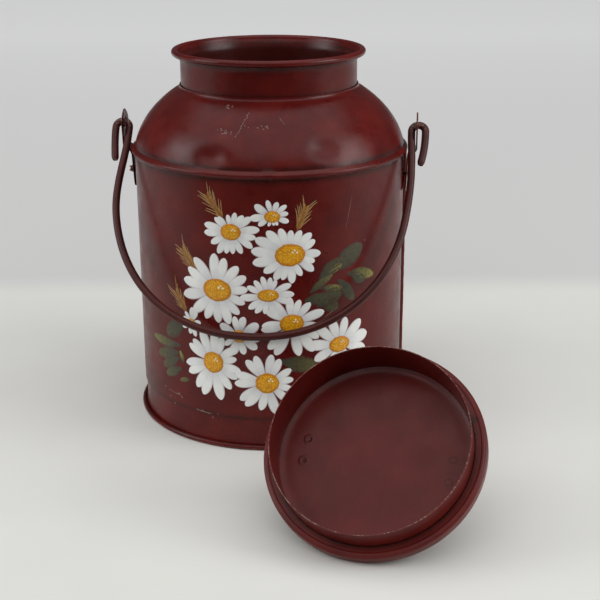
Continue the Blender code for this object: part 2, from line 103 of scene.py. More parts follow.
def new_finish(name, **surface):
    """A material with its Principled shader's plain sockets set; returns it with that shader."""
    finish = bpy.data.materials.new(name)
    finish.use_nodes = True
    shader = finish.node_tree.nodes["Principled BSDF"]
    for socket, value in surface.items():
        shader.inputs[socket.replace("_", " ")].default_value = value
    return finish, shader


def link_surface(finish, shader, **outputs):
    """Links node outputs to the shader's sockets, each named with an underscore for its space."""
    for socket, output in outputs.items():
        finish.node_tree.links.new(output, shader.inputs[socket.replace("_", " ")])


SHEET_SIZE = 16.0
FAR_PAINTED_SHADE_EDGE = 0.27
FAR_PAINTED_LIGHT_END = 2.2
FRONT_PAINTED_SHADE_EDGE = -0.43
paper, paper_shader = new_finish("matt_paper", Roughness=0.85, IOR=1.45)
paper_place = add_node(paper, "TexCoord").outputs["Object"]
paper_way = add_node(paper, "SeparateXYZ", {0: paper_place}).outputs["Y"]
# Painted shade: behind the can the paper steps to a greyer tone, standing in for a backdrop wall's shade.
far_painted_shade_step = add_node(
    paper,
    "MapRange",
    {"Value": paper_way, "From Min": FAR_PAINTED_SHADE_EDGE - 0.035, "From Max": FAR_PAINTED_SHADE_EDGE + 0.045},
    interpolation_type="SMOOTHSTEP",
)
# Paper's slight cloudiness, in patches 90 mm across.
paper_cloud = add_node(paper, "TexNoise", {"Vector": paper_place, "Scale": per_mm(90), "Detail": 3})
near_tone = add_node(
    paper,
    "Mix",
    {0: paper_cloud.outputs["Fac"], 6: srgb("#DDDDD8"), 7: srgb("#D5D5D1")},
    data_type="RGBA",
)
# Painted light: the far paper brightens with distance to make up for the lamps' falloff.
far_painted_light_rise = add_node(
    paper,
    "MapRange",
    {"Value": paper_way, "From Min": FAR_PAINTED_SHADE_EDGE, "From Max": FAR_PAINTED_LIGHT_END},
)
far_painted_shade_and_light_tone = add_node(
    paper,
    "Mix",
    {0: far_painted_light_rise.outputs["Result"], 6: srgb("#C8C8C7"), 7: srgb("#EDEDED")},
    data_type="RGBA",
)
sheet_tone_with_painted_light = add_node(
    paper,
    "Mix",
    {0: far_painted_shade_step.outputs["Result"], 6: near_tone.outputs[2], 7: far_painted_shade_and_light_tone.outputs[2]},
    data_type="RGBA",
)
# Painted shade: the floor in front of the can turns dark grey, so that the enamel mirrors shade there.
front_painted_shade_step = add_node(
    paper,
    "MapRange",
    {"Value": paper_way, "From Min": FRONT_PAINTED_SHADE_EDGE - 0.02, "From Max": FRONT_PAINTED_SHADE_EDGE + 0.02},
    interpolation_type="SMOOTHSTEP",
)
paper_tone_with_painted_light_and_shade = add_node(
    paper,
    "Mix",
    {0: front_painted_shade_step.outputs["Result"], 6: srgb("#4A4744"), 7: sheet_tone_with_painted_light.outputs[2]},
    data_type="RGBA",
)
paper_bump = add_node(
    paper, "Bump", {"Strength": 0.15, "Distance": 0.0003, "Height": paper_cloud.outputs["Fac"]}
)
link_surface(paper, paper_shader, Base_Color=paper_tone_with_painted_light_and_shade.outputs[2], Normal=paper_bump.outputs[0])

sheet_mesh = bpy.data.meshes.new("paper_sheet")
sheet_shape = bmesh.new()
bmesh.ops.create_grid(sheet_shape, x_segments=8, y_segments=8, size=SHEET_SIZE / 2)
sheet_shape.to_mesh(sheet_mesh)
sheet_shape.free()
sheet_mesh.materials.append(paper)
paper_sheet = bpy.data.objects.new("paper_sheet", sheet_mesh)
bpy.context.scene.collection.objects.link(paper_sheet)
paper_sheet.location.z = cad_box[0].z
paper_sheet.rotation_euler.z = math.radians(5.5)


def add_soft_light(name, place, target, width, height, power):
    """A rectangular soft light that faces its target."""
    data = bpy.data.lights.new(name, "AREA")
    data.shape = "RECTANGLE"
    data.size = width
    data.size_y = height
    data.energy = power
    light = bpy.data.objects.new(name, data)
    bpy.context.scene.collection.objects.link(light)
    light.location = place
    light.rotation_mode = "QUATERNION"
    light.rotation_quaternion = (Vector(target) - Vector(place)).to_track_quat("-Z", "Y")


add_soft_light("light_left", (-1.5, -0.45, 0.75), (0, 0, 0.12), 0.85, 0.85, 9)
add_soft_light("light_right", (1.5, -0.32, 0.72), (0, 0, 0.12), 0.9, 0.9, 12)
ceiling = bpy.data.objects.new("ceiling_light", bpy.data.lights.new("ceiling_light", "SUN"))
bpy.context.scene.collection.objects.link(ceiling)
ceiling.data.energy = 2.1
ceiling.data.angle = math.radians(100)
ceiling.rotation_euler = (math.radians(12), 0, 0)
room = bpy.data.worlds.new("dim_room")
bpy.context.scene.world = room
room.use_nodes = True
room_glow = room.node_tree.nodes["Background"]
room_glow.inputs["Color"].default_value = srgb("#EEF0F2")
room_glow.inputs["Strength"].default_value = 0.10

# ---- foot band and base disc ---------------------------------------------------------------------
# A band of tinplate laps inside the body's lower edge and is rolled outwards round a wire. The base
# disc is soldered inside it. All are brushed with the same burgundy oil enamel as the can.
STAND = cad_box[0].z
SHEET = 0.0007
GAP = 0.0003
ROUND_STEPS = 256
BODY_RADIUS = 0.1000
BODY_BOTTOM = 0.0237


def over_table(height):
    """Height over the table as z."""
    return STAND + height


def arc(centre, radius, start_deg, end_deg, steps):
    """Points of an arc in the (radius, z) plane; 0 degrees points outwards and 90 points up."""
    turns = [math.radians(start_deg + (end_deg - start_deg) * i / steps) for i in range(steps + 1)]
    return [(centre[0] + radius * math.cos(t), centre[1] + radius * math.sin(t)) for t in turns]


def fine_line(line, step):
    """The same line with extra points, so that none of its stretches is longer than `step`."""
    points = [line[0]]
    for (r0, z0), (r1, z1) in zip(line, line[1:]):
        count = max(1, math.ceil(math.hypot(r1 - r0, z1 - z0) / step))
        points += [(r0 + (r1 - r0) * i / count, z0 + (z1 - z0) * i / count) for i in range(1, count + 1)]
    return points


def sheet_section(line, thickness):
    """The closed outline of a sheet whose middle follows `line`."""
    one_side, other_side = [], []
    for i, point in enumerate(line):
        run = Vector(line[min(i + 1, len(line) - 1)]) - Vector(line[max(i - 1, 0)])
        across = Vector((-run.y, run.x)).normalized() * thickness / 2
        one_side.append(Vector(point) + across)
        other_side.append(Vector(point) - across)
    return [tuple(p) for p in one_side + other_side[::-1]]


def new_piece(name, shape, finish, body, replaced=(), sharp_deg=40, pose=None):
    """Makes an object of a finished bmesh, with its material, its body and the CAD nodes it stands for."""
    bmesh.ops.remove_doubles(shape, verts=shape.verts, dist=0.000002)
    bmesh.ops.recalc_face_normals(shape, faces=shape.faces)
    mesh = bpy.data.meshes.new(name)
    shape.to_mesh(mesh)
    shape.free()
    mesh.shade_smooth()
    mesh.set_sharp_from_angle(angle=math.radians(sharp_deg))
    mesh.materials.append(finish)
    if pose:
        mesh.transform(pose)
    piece = bpy.data.objects.new(name, mesh)
    bpy.context.scene.collection.objects.link(piece)
    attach(piece, body)
    if replaced:
        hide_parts(*replaced)
    return piece


def turned(outline, warp=None, steps=ROUND_STEPS, closed=True, marks=None):
    """A shape turned about Z from an outline of (radius, z). `warp` moves each point and `marks` gives it
    its (worn, grime and painted shade, inside) levels for the enamel."""
    shape = bmesh.new()
    layer = shape.verts.layers.float_color.new("marks")
    rings = []
    for radius, z in outline:
        ring = []
        for i in range(steps if radius > 1e-6 else 1):
            turn = 2 * math.pi * i / steps
            point = Vector((radius * math.cos(turn), radius * math.sin(turn), z))
            vert = shape.verts.new(warp(point) if warp else point)
            vert[layer] = (*(marks(point, radius) if marks else (0, 0, 0)), 1)
            ring.append(vert)
        rings.append(ring)
    pairs = list(zip(rings, rings[1:]))
    if closed:
        pairs.append((rings[-1], rings[0]))
    for one, other in pairs:
        for i in range(steps):
            j = (i + 1) % steps
            corners = [one[i % len(one)], one[j % len(one)], other[j % len(other)], other[i % len(other)]]
            corners = [c for k, c in enumerate(corners) if c not in corners[:k]]
            if len(corners) > 2:
                shape.faces.new(corners)
    return shape


def near(value, centre, reach):
    """1 at the centre, falling smoothly to nothing a few reaches away."""
    return math.exp(-(((value - centre) / reach) ** 2))


def enamel(name, coat, thin_coat, roughness, wear_shift=0.0):
    """Brushed oil enamel on tinplate: an old coat gone soft in gloss, so its index is low. It has brush
    marks, thinner and redder patches, dark grime with painted shade in the joints and creases, and dull
    tinplate where it is worn."""
    finish, shader = new_finish(name, IOR=1.34)
    place = add_node(finish, "TexCoord").outputs["Object"]
    marks = add_node(finish, "Attribute", attribute_name="marks").outputs["Color"]
    levels = add_node(finish, "SeparateColor", {0: marks})
    # Patches of thinner paint, 28 mm across.
    patches = add_node(
        finish, "TexNoise", {"Vector": place, "Scale": per_mm(28), "Detail": 4, "Roughness": 0.6}
    ).outputs["Fac"]
    patch_level = add_node(finish, "MapRange", {"Value": patches, "From Min": 0.38, "From Max": 0.66})
    coat_tone = add_node(
        finish,
        "Mix",
        {0: patch_level.outputs["Result"], 6: srgb(coat), 7: srgb(thin_coat)},
        data_type="RGBA",
    ).outputs[2]
    # Chipping and rubbing break up in specks of 1.3 mm.
    specks = add_node(
        finish, "TexNoise", {"Vector": place, "Scale": per_mm(1.3), "Detail": 5, "Roughness": 0.7}
    ).outputs["Fac"]
    speck_sum = add_node(finish, "Math", {0: specks, 1: levels.outputs[0]}, operation="ADD").outputs[0]
    bare = add_node(
        finish,
        "MapRange",
        {"Value": speck_sum, "From Min": 0.92 - wear_shift, "From Max": 1.04 - wear_shift},
    ).outputs["Result"]
    # Grime and painted shade in the joints and creases are one dark brown film, uneven over 3 mm.
    grime_and_shade_film = add_node(finish, "TexNoise", {"Vector": place, "Scale": per_mm(3), "Detail": 3}).outputs["Fac"]
    grime_and_shade_film = add_node(finish, "Math", {0: grime_and_shade_film, 1: levels.outputs[1]}, operation="MULTIPLY").outputs[0]
    grime_and_shade_film = add_node(finish, "Math", {0: grime_and_shade_film, 1: 1.7}, operation="MULTIPLY", use_clamp=True).outputs[0]
    grime_and_shade_tone = add_node(
        finish, "Mix", {0: grime_and_shade_film, 6: coat_tone, 7: srgb("#1D0C08")}, data_type="RGBA"
    ).outputs[2]
    # Inside the can there is only a thin brown coat over the tinplate.
    inner = add_node(
        finish, "Mix", {0: levels.outputs[2], 6: grime_and_shade_tone, 7: srgb("#3A1512")}, data_type="RGBA"
    ).outputs[2]
    colour = add_node(finish, "Mix", {0: bare, 6: inner, 7: srgb("#8B7468")}, data_type="RGBA").outputs[2]
    metal = add_node(finish, "Math", {0: bare, 1: 0.55}, operation="MULTIPLY").outputs[0]
    # Gloss varies with the brush marks and over patches of 12 mm where hands have rubbed it.
    rubbed = add_node(
        finish, "TexNoise", {"Vector": place, "Scale": per_mm(12), "Detail": 5}
    ).outputs["Fac"]
    gloss_range = {"From Min": 0.3, "From Max": 0.7, "To Min": roughness - 0.05, "To Max": roughness + 0.09}
    gloss = add_node(finish, "MapRange", {"Value": rubbed, **gloss_range}).outputs["Result"]
    gloss = add_node(finish, "Math", {0: bare, 1: 0.18, 2: gloss}, operation="MULTIPLY_ADD").outputs[0]
    # Bristle marks are about 0.3 mm apart; they are drawn 1.1 mm apart so that they show.
    stretched = add_node(finish, "Mapping", {"Vector": place, "Scale": (1, 1, 0.16)}).outputs[0]
    bristles = add_node(
        finish, "TexNoise", {"Vector": stretched, "Scale": per_mm(1.1), "Detail": 3}
    ).outputs["Fac"]
    relief = add_node(finish, "Math", {0: bare, 1: -1.0, 2: bristles}, operation="MULTIPLY_ADD").outputs[0]
    bump = add_node(finish, "Bump", {"Strength": 0.35, "Distance": 0.00012, "Height": relief}).outputs[0]
    link_surface(finish, shader, Base_Color=colour, Metallic=metal, Roughness=gloss, Normal=bump)
    return finish


BURGUNDY = enamel("burgundy_enamel", "#4F0D0A", "#61150F", 0.29)

FOOT_FLARE = 0.0011
FOOT_ROLL_RADIUS = 0.0019
FOOT_ROLL_TOP = 0.0075
FOOT_LAP = 0.0070
foot_middle = BODY_RADIUS - SHEET - GAP - SHEET / 2
foot_roll_line = FOOT_ROLL_RADIUS - SHEET / 2
foot_roll_centre = (foot_middle + FOOT_FLARE + foot_roll_line, over_table(FOOT_ROLL_RADIUS))
foot_rise = [(foot_middle, over_table(BODY_BOTTOM + FOOT_LAP)), (foot_middle, over_table(FOOT_ROLL_TOP))]
foot_line = fine_line(foot_rise, 0.003)
foot_line += arc(foot_roll_centre, foot_roll_line, 180, 180 + 285, 22)


def foot_marks(point, radius):
    rub = 0.42 * near(point.z, over_table(0.0012), 0.0016) * (radius > foot_roll_centre[0])
    rub += 0.16 * near(point.z, over_table(0.0125), 0.006) * noise.noise(point * 60)
    # Painted shadow under the body's lower edge, and grime with painted shade in the crease above the roll.
    grime_and_painted_shade = near(point.z, over_table(0.0048), 0.0016) + near(point.z, over_table(BODY_BOTTOM), 0.0011)
    return rub, min(grime_and_painted_shade, 1), float(radius < foot_middle)


foot = turned(sheet_section(foot_line, SHEET), marks=foot_marks)
new_piece("foot_band_rolled", foot, BURGUNDY, "can", ["foot_band"])

INSIDE = enamel("inside_enamel_worn", "#431410", "#52201A", 0.42, 0.10)
BASE_CORNER = 0.0025
BASE_SKIRT = 0.0080
base_edge = foot_middle - SHEET - GAP
base_line = fine_line([(0, SHEET / 2), (base_edge - BASE_CORNER, SHEET / 2)], 0.004)
base_line += arc((base_edge - BASE_CORNER, SHEET / 2 - BASE_CORNER), BASE_CORNER, 80, 0, 6)
base_line += [(base_edge, SHEET / 2 - BASE_SKIRT)]


def pressed_base(point):
    """The disc's slight oil-canning."""
    ripple = 0.00018 * math.sin(point.x * 45) * math.cos(point.y * 38)
    return point + Vector((0, 0, ripple * (1 - near(point.xy.length, base_edge, 0.02))))


def base_marks(point, radius):
    # Darker at the disc's edge, in the corner against the foot band: grime and painted shade.
    return 0.1 * near(radius, base_edge, 0.006), 0.8 * near(radius, base_edge, 0.004), 0.4


base = turned(sheet_section(base_line, SHEET), pressed_base, closed=False, marks=base_marks)
new_piece("base_disc_pressed", base, INSIDE, "can", ["base_disc"])


# ---- body and its side seam ----------------------------------------------------------------------
# The body is one tinplate sheet rolled round and locked in a folded, soldered seam beside the
# right-hand ear. Years of use have left it very slightly out of round.
SEAM_HEIGHT = 0.2029
SEAM_HALF_HEIGHT = 0.0026


def slightly_dented(point):
    """Moves a point of the body in or out by up to 0.15 mm, over areas about 60 mm across."""
    outward = Vector((point.x, point.y, 0)).normalized()
    return point + outward * 0.00015 * noise.noise(Vector((point.x, point.y, point.z * 0.7)) * 17)


def body_marks(point, radius):
    low_rub = 0.13 * near(point.z, over_table(BODY_BOTTOM), 0.007)
    patch = 0.10 * max(noise.noise(point * 22 + Vector((5, 0, 2))), 0)
    # Painted shadow at the body's lower edge, over the foot band, and just under the shoulder's seam bead.
    grime_and_painted_shade = 0.7 * near(point.z, over_table(BODY_BOTTOM), 0.0016)
    grime_and_painted_shade += 0.8 * near(point.z, over_table(SEAM_HEIGHT - 0.0036), 0.0018)
    return low_rub + patch, grime_and_painted_shade, float(radius < BODY_RADIUS - SHEET / 2)


body_middle = BODY_RADIUS - SHEET / 2
body_top = over_table(SEAM_HEIGHT + SEAM_HALF_HEIGHT / 4)
body_line = fine_line([(body_middle, body_top), (body_middle, over_table(BODY_BOTTOM))], 0.004)
body = turned(sheet_section(body_line, SHEET), slightly_dented, marks=body_marks)
new_piece("body_sheet", body, BURGUNDY, "can", ["body_shell"])


def join_rings(shape, rings):
    """Faces between each pair of neighbouring closed rings of points."""
    for one, other in zip(rings, rings[1:]):
        for k in range(len(one)):
            shape.faces.new((one[k - 1], one[k], other[k], other[k - 1]))


SIDE_SEAM_ANGLE = 0.143
SIDE_SEAM_HALF_WIDTH = 0.0035
SIDE_SEAM_PROUD = 0.0026
seam_shape = bmesh.new()
seam_layer = seam_shape.verts.layers.float_color.new("marks")
seam_rows = []
seam_low = over_table(BODY_BOTTOM) + 0.0008
seam_high = over_table(SEAM_HEIGHT - SEAM_HALF_HEIGHT) - 2 * GAP
SEAM_ROWS = 90
# The seam's section: across as a share of its half width, and how proud as a share of its height.
SEAM_SECTION = (
    (-1, 0), (-0.99, 0.35), (-0.9, 0.78), (-0.7, 0.98), (0, 0.9),
    (0.55, 0.98), (0.85, 0.8), (1, 0.3), (1, 0),
)
for i in range(SEAM_ROWS + 1):
    z = seam_low + (seam_high - seam_low) * i / SEAM_ROWS
    row = []
    for across, proud in SEAM_SECTION:
        uneven = 1 + 0.10 * noise.noise(Vector((across * 0.8, z * 140, 3)))
        reach = BODY_RADIUS + GAP + SIDE_SEAM_PROUD * min(proud * uneven, 1)
        turn = SIDE_SEAM_ANGLE + across * SIDE_SEAM_HALF_WIDTH / BODY_RADIUS
        vert = seam_shape.verts.new((reach * math.cos(turn), reach * math.sin(turn), z))
        # Grime and painted shade along the seam's edges, where it meets the body; rubbed paint on its crest.
        vert[seam_layer] = (0.16 * (proud > 0.9), 0.9 * (proud < 0.2), 0, 1)
        row.append(vert)
    seam_rows.append(row)
join_rings(seam_shape, seam_rows)
seam_shape.faces.new(seam_rows[0])
seam_shape.faces.new(seam_rows[-1])
new_piece("side_seam_folded", seam_shape, BURGUNDY, "can", ["side_seam"])

# ---- domed shoulder ------------------------------------------------------------------------------
# A pressed dome whose lower edge is swaged out over the body's top and soldered, with a short lip
# turned up round the neck. It carries the can's worst knocks.
SEAM_PROUD = 0.0026
DOME_EQUATOR = 0.1954
DOME_HALF_HEIGHT = 0.0687
DOME_RADIUS = 0.1009
NECK_RADIUS = 0.0646
LIP_FILLET = 0.0030


def dome_height(radius):
    """Height over the table at which the dome has this outside radius."""
    return DOME_EQUATOR + DOME_HALF_HEIGHT * math.sqrt(1 - (radius / DOME_RADIUS) ** 2)


# Each knock: degrees from the front towards the right ear, height over the table, half width and
# half height in metres, and depth.
KNOCKS = (
    (-17, 0.2140, 0.0105, 0.0062, 0.0021),
    (29, 0.2190, 0.0115, 0.0072, 0.0019),
    (-14, 0.2290, 0.0110, 0.0026, 0.0009),
    (3, 0.2325, 0.0150, 0.0025, 0.0008),
    (-19, 0.2050, 0.0060, 0.0018, -0.0004),
    (6, 0.2052, 0.0040, 0.0018, -0.0004),
    (150, 0.2200, 0.0180, 0.0100, 0.0012),
    (-130, 0.2260, 0.0120, 0.0080, 0.0010),
)


def front_angle(point):
    """Degrees round the can from the front, positive towards the right-hand ear."""
    return math.degrees(math.atan2(point.x, -point.y))


def knocked(point):
    """Moves a point of the shoulder in where it has been knocked."""
    outward = Vector((point.x, point.y, 0)).normalized()
    depth = 0.00016 * noise.noise(point * 24)
    for angle, height, half_width, half_height, deep in KNOCKS:
        turn = (front_angle(point) - angle + 180) % 360 - 180
        across = math.radians(turn) * DOME_RADIUS / half_width
        up = (point.z - over_table(height)) / half_height
        depth += deep * math.exp(-across * across - up * up)
    return point - (outward + Vector((0, 0, 0.5))) * depth


def shoulder_marks(point, radius):
    crest = 0.17 * near(point.z, over_table(SEAM_HEIGHT + 0.0006), 0.0016) * (radius > BODY_RADIUS)
    lip = 0.16 * near(point.z, over_table(0.2480), 0.0016)
    rub = 0.14 * max(noise.noise(point * 26 + Vector((1, 7, 0))), 0)
    # Painted shade in the crease above the seam bead, and painted shadow along the bead's lower edge.
    grime_and_painted_shade = 0.8 * near(point.z, over_table(SEAM_HEIGHT + 0.0042), 0.0015)
    grime_and_painted_shade += 0.6 * near(point.z, over_table(SEAM_HEIGHT - 0.0026), 0.0010)
    return crest + lip + rub, grime_and_painted_shade, 0.0


lip_middle = NECK_RADIUS + GAP + SHEET / 2
lip_foot = lip_middle + LIP_FILLET
lip_base = dome_height(lip_foot) - SHEET / 2
DOME_ROWS = 44
dome_start = math.acos((lip_foot + 0.002) / DOME_RADIUS)
dome_end = math.asin((SEAM_HEIGHT + SEAM_HALF_HEIGHT - DOME_EQUATOR) / DOME_HALF_HEIGHT)
shoulder_line = [(lip_middle, lip_base + LIP_FILLET + 0.0005)]
shoulder_line += arc((lip_foot, lip_base + LIP_FILLET), LIP_FILLET, 180, 248, 6)
for i in range(DOME_ROWS):
    turn = dome_start + (dome_end - dome_start) * i / (DOME_ROWS - 1)
    rise = DOME_EQUATOR + (DOME_HALF_HEIGHT - SHEET / 2) * math.sin(turn)
    shoulder_line.append(((DOME_RADIUS - SHEET / 2) * math.cos(turn), rise))
seam_crest = BODY_RADIUS + SEAM_PROUD - SHEET / 2
bead_radius = SEAM_HALF_HEIGHT * 0.62
bead_centre = (seam_crest - bead_radius, SEAM_HEIGHT - 0.0002)
shoulder_line += arc(bead_centre, bead_radius, 62, -62, 9)
shoulder_line.append((BODY_RADIUS + GAP + SHEET / 2, SEAM_HEIGHT - SEAM_HALF_HEIGHT))
shoulder_line = [(r, over_table(height)) for r, height in shoulder_line]
shoulder = turned(sheet_section(shoulder_line, SHEET), knocked, marks=shoulder_marks)
new_piece("shoulder_pressed", shoulder, BURGUNDY, "can", ["shoulder_dome"])

# ---- neck with its wired rim ---------------------------------------------------------------------
# A short tinplate collar, flared at the top and rolled outwards round a wire. The wires in the rim and
# in the foot's roll are bare iron, darkened, and show only at the rolls' open edges.
RIM_HEIGHT = 0.2724
RIM_FLARE = 0.0021
RIM_FLARE_HEIGHT = 0.0075
RIM_ROLL_RADIUS = 0.0024
neck_middle = NECK_RADIUS - SHEET / 2
rim_line_radius = RIM_ROLL_RADIUS - SHEET / 2
rim_centre = (neck_middle + RIM_FLARE + rim_line_radius, over_table(RIM_HEIGHT))
rim_line = arc(rim_centre, rim_line_radius, -105, 180, 24)
flare_foot = over_table(RIM_HEIGHT - RIM_FLARE_HEIGHT)
FLARE_ROWS = 8
for i in range(1, FLARE_ROWS + 1):
    way = i / FLARE_ROWS
    bow = RIM_FLARE * (1 - way) ** 1.6
    rim_line.append((neck_middle + bow, rim_centre[1] + (flare_foot - rim_centre[1]) * way))
rim_line += fine_line([(neck_middle, flare_foot - 0.002), (neck_middle, over_table(0.2430))], 0.003)


def neck_marks(point, radius):
    rub = 0.20 * near(point.z, over_table(RIM_HEIGHT + 0.0016), 0.0018) * (radius > NECK_RADIUS + 0.003)
    rub += 0.12 * max(noise.noise(point * 40 + Vector((2, 2, 9))), 0)
    # Painted shadow under the rim's roll, and grime with painted shade where the collar meets the shoulder's
    # lip.
    grime_and_painted_shade = 0.7 * near(point.z, over_table(RIM_HEIGHT - 0.0034), 0.0014)
    grime_and_painted_shade += 0.9 * near(point.z, over_table(0.2494), 0.0014)
    return rub, grime_and_painted_shade, 0.85 * float(radius < neck_middle)


def sprung(point):
    """The collar is a little out of round, by up to 0.2 mm."""
    outward = Vector((point.x, point.y, 0)).normalized()
    return point + outward * 0.00012 * noise.noise(point * 21)


neck = turned(sheet_section(rim_line, SHEET), sprung, marks=neck_marks)
new_piece("neck_collar_wired", neck, BURGUNDY, "can", ["neck_collar"])


def darkened_iron(name):
    """Drawn iron wire with a thin, dark oxide skin: a dull metal, with browner rust spots 2 mm across."""
    finish, shader = new_finish(name, Metallic=0.85)
    place = add_node(finish, "TexCoord").outputs["Object"]
    spots = add_node(finish, "TexNoise", {"Vector": place, "Scale": per_mm(2), "Detail": 5}).outputs["Fac"]
    rust = add_node(
        finish, "MapRange", {"Value": spots, "From Min": 0.5, "From Max": 0.68}
    ).outputs["Result"]
    colour = add_node(
        finish, "Mix", {0: rust, 6: srgb("#4C4845"), 7: srgb("#5A3524")}, data_type="RGBA"
    ).outputs[2]
    dull = add_node(finish, "MapRange", {"Value": spots, "To Min": 0.38, "To Max": 0.66}).outputs["Result"]
    bump = add_node(finish, "Bump", {"Strength": 0.4, "Distance": 0.0001, "Height": spots}).outputs[0]
    link_surface(finish, shader, Base_Color=colour, Roughness=dull, Normal=bump)
    return finish


IRON = darkened_iron("darkened_iron")
for node in ("rim_wire", "foot_wire"):
    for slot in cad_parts[node].material_slots:
        slot.material = IRON


# ---- ears and their rivets -----------------------------------------------------------------------
# Each ear is one bent strap of heavier tinplate: a foot riveted to the body, a shelf out over the seam
# bead, and an upright leaf with a hole for the bail. The bail has rubbed the leaves' paint to grey.
PIVOT = 0.2017
EAR_REACH = 0.1093
EAR_THICKNESS = 0.0012
EAR_FOOT_BOTTOM = 0.1710
EAR_FOOT_TOP = 0.1950
EAR_FOOT_LEAN = 0.0013
EAR_FOOT_CORNER = 0.0035
EAR_SHELF = 0.1992
EAR_FOOT_HALF_WIDTH = 0.0095
EAR_LEAF_HALF_WIDTH = 0.0112
EAR_TOP_RISE = 0.0094
EAR_HOLE_RADIUS = 0.00385


def ear_foot_middle(height):
    """Distance from the can's axis of the middle of the ear's foot, at a height over the table."""
    way = (height - EAR_FOOT_BOTTOM) / (EAR_FOOT_TOP - EAR_FOOT_BOTTOM)
    return BODY_RADIUS + 0.0011 + EAR_THICKNESS / 2 + EAR_FOOT_LEAN * way


def rounded_strap(stations, thickness, columns, bevel):
    """A bent strap with rounded edges. Each station is its middle (x, z) and its half width along Y."""
    shape = bmesh.new()
    middle = [Vector((x, z)) for (x, z), _ in stations]
    loops = []
    for i, (_, half_width) in enumerate(stations):
        run = middle[min(i + 1, len(middle) - 1)] - middle[max(i - 1, 0)]
        across = Vector((-run.y, run.x)).normalized()
        loop = []
        for face in (1, -1):
            for k in range(columns + 1):
                side = (-1 + 2 * k / columns) * face
                edge = max(abs(side) * half_width - (half_width - bevel), 0) / bevel
                level = thickness / 2 * (1 - 0.75 * edge * edge) * face
                spot = middle[i] + across * level
                loop.append(shape.verts.new((spot.x, side * half_width, spot.y)))
        loops.append(loop)
    join_rings(shape, loops)
    shape.faces.new(loops[0])
    shape.faces.new(loops[-1])
    return shape


def ear_stations():
    """The ear's middle line from the foot's lower end to the leaf's tip, with its half widths."""
    stations = []
    for i in range(7):
        part_way = (i / 6) ** 1.6
        half = EAR_FOOT_HALF_WIDTH - EAR_FOOT_CORNER * (1 - math.sqrt(1 - (1 - part_way) ** 2))
        height = EAR_FOOT_BOTTOM + EAR_FOOT_CORNER * part_way
        stations.append(((ear_foot_middle(height), over_table(height)), half))
    foot_top = ear_foot_middle(EAR_FOOT_TOP)
    shelf = over_table(EAR_SHELF)
    wide = EAR_FOOT_HALF_WIDTH
    stations += [((ear_foot_middle(h), over_table(h)), wide) for h in (0.179, 0.184, 0.189, EAR_FOOT_TOP)]
    stations += [
        ((foot_top + 0.0004, shelf - 0.0026), wide),
        ((foot_top + 0.0011, shelf - 0.0011), wide),
        ((foot_top + 0.0024, shelf - 0.0001), wide),
        ((EAR_REACH - 0.0022, shelf + 0.0010), wide),
        ((EAR_REACH - 0.0008, shelf + 0.0019), wide),
        ((EAR_REACH - 0.0001, shelf + 0.0033), wide),
        ((EAR_REACH, shelf + 0.0046), wide),
    ]
    leaf_middle = PIVOT - 0.0020
    stations.append(((EAR_REACH, leaf_middle - 0.0060), wide + 0.0006))
    stations.append(((EAR_REACH, leaf_middle - 0.0030), EAR_LEAF_HALF_WIDTH - 0.0004))
    for i in range(19):
        part_way = math.sin(math.pi / 2 * i / 18)
        half = EAR_LEAF_HALF_WIDTH * (1 - part_way**2.2) + 0.0012 * part_way
        stations.append(((EAR_REACH, leaf_middle + (PIVOT + EAR_TOP_RISE - leaf_middle) * part_way), half))
    return stations


def cut_hole(piece, place, radius, depth):
    """Drills a round hole along X and leaves the piece a plain mesh."""
    drill_mesh = bpy.data.meshes.new("drill")
    drill_shape = bmesh.new()
    bmesh.ops.create_cone(
        drill_shape, cap_ends=True, segments=40, radius1=radius, radius2=radius, depth=depth
    )
    drill_shape.to_mesh(drill_mesh)
    drill_shape.free()
    drill = bpy.data.objects.new("drill", drill_mesh)
    bpy.context.scene.collection.objects.link(drill)
    drill.matrix_world = Matrix.Translation(place) @ Matrix.Rotation(math.pi / 2, 4, "Y")
    boolean = piece.modifiers.new("hole", "BOOLEAN")
    boolean.operation = "DIFFERENCE"
    boolean.object = drill
    bpy.context.view_layer.update()
    cut_mesh = bpy.data.meshes.new_from_object(piece.evaluated_get(bpy.context.evaluated_depsgraph_get()))
    piece.modifiers.clear()
    piece.data = cut_mesh
    bpy.data.objects.remove(drill)


def mark_points(piece, marks):
    """Writes each point's (worn, grime and painted shade, inside) levels for the enamel."""
    layer = piece.data.attributes.get("marks") or piece.data.attributes.new("marks", "FLOAT_COLOR", "POINT")
    for vert, spot in zip(piece.data.vertices, layer.data):
        spot.color = (*marks(vert.co), 1)


def ear_marks(point):
    leaf = max(0.0, min(1.0, (point.z - PIVOT + 0.008) / 0.008))
    # Grime and painted shade at the bend under the ear's shelf, beside the seam bead.
    return 0.42 * leaf, 0.5 * near(point.z, over_table(0.1985), 0.0018), 0


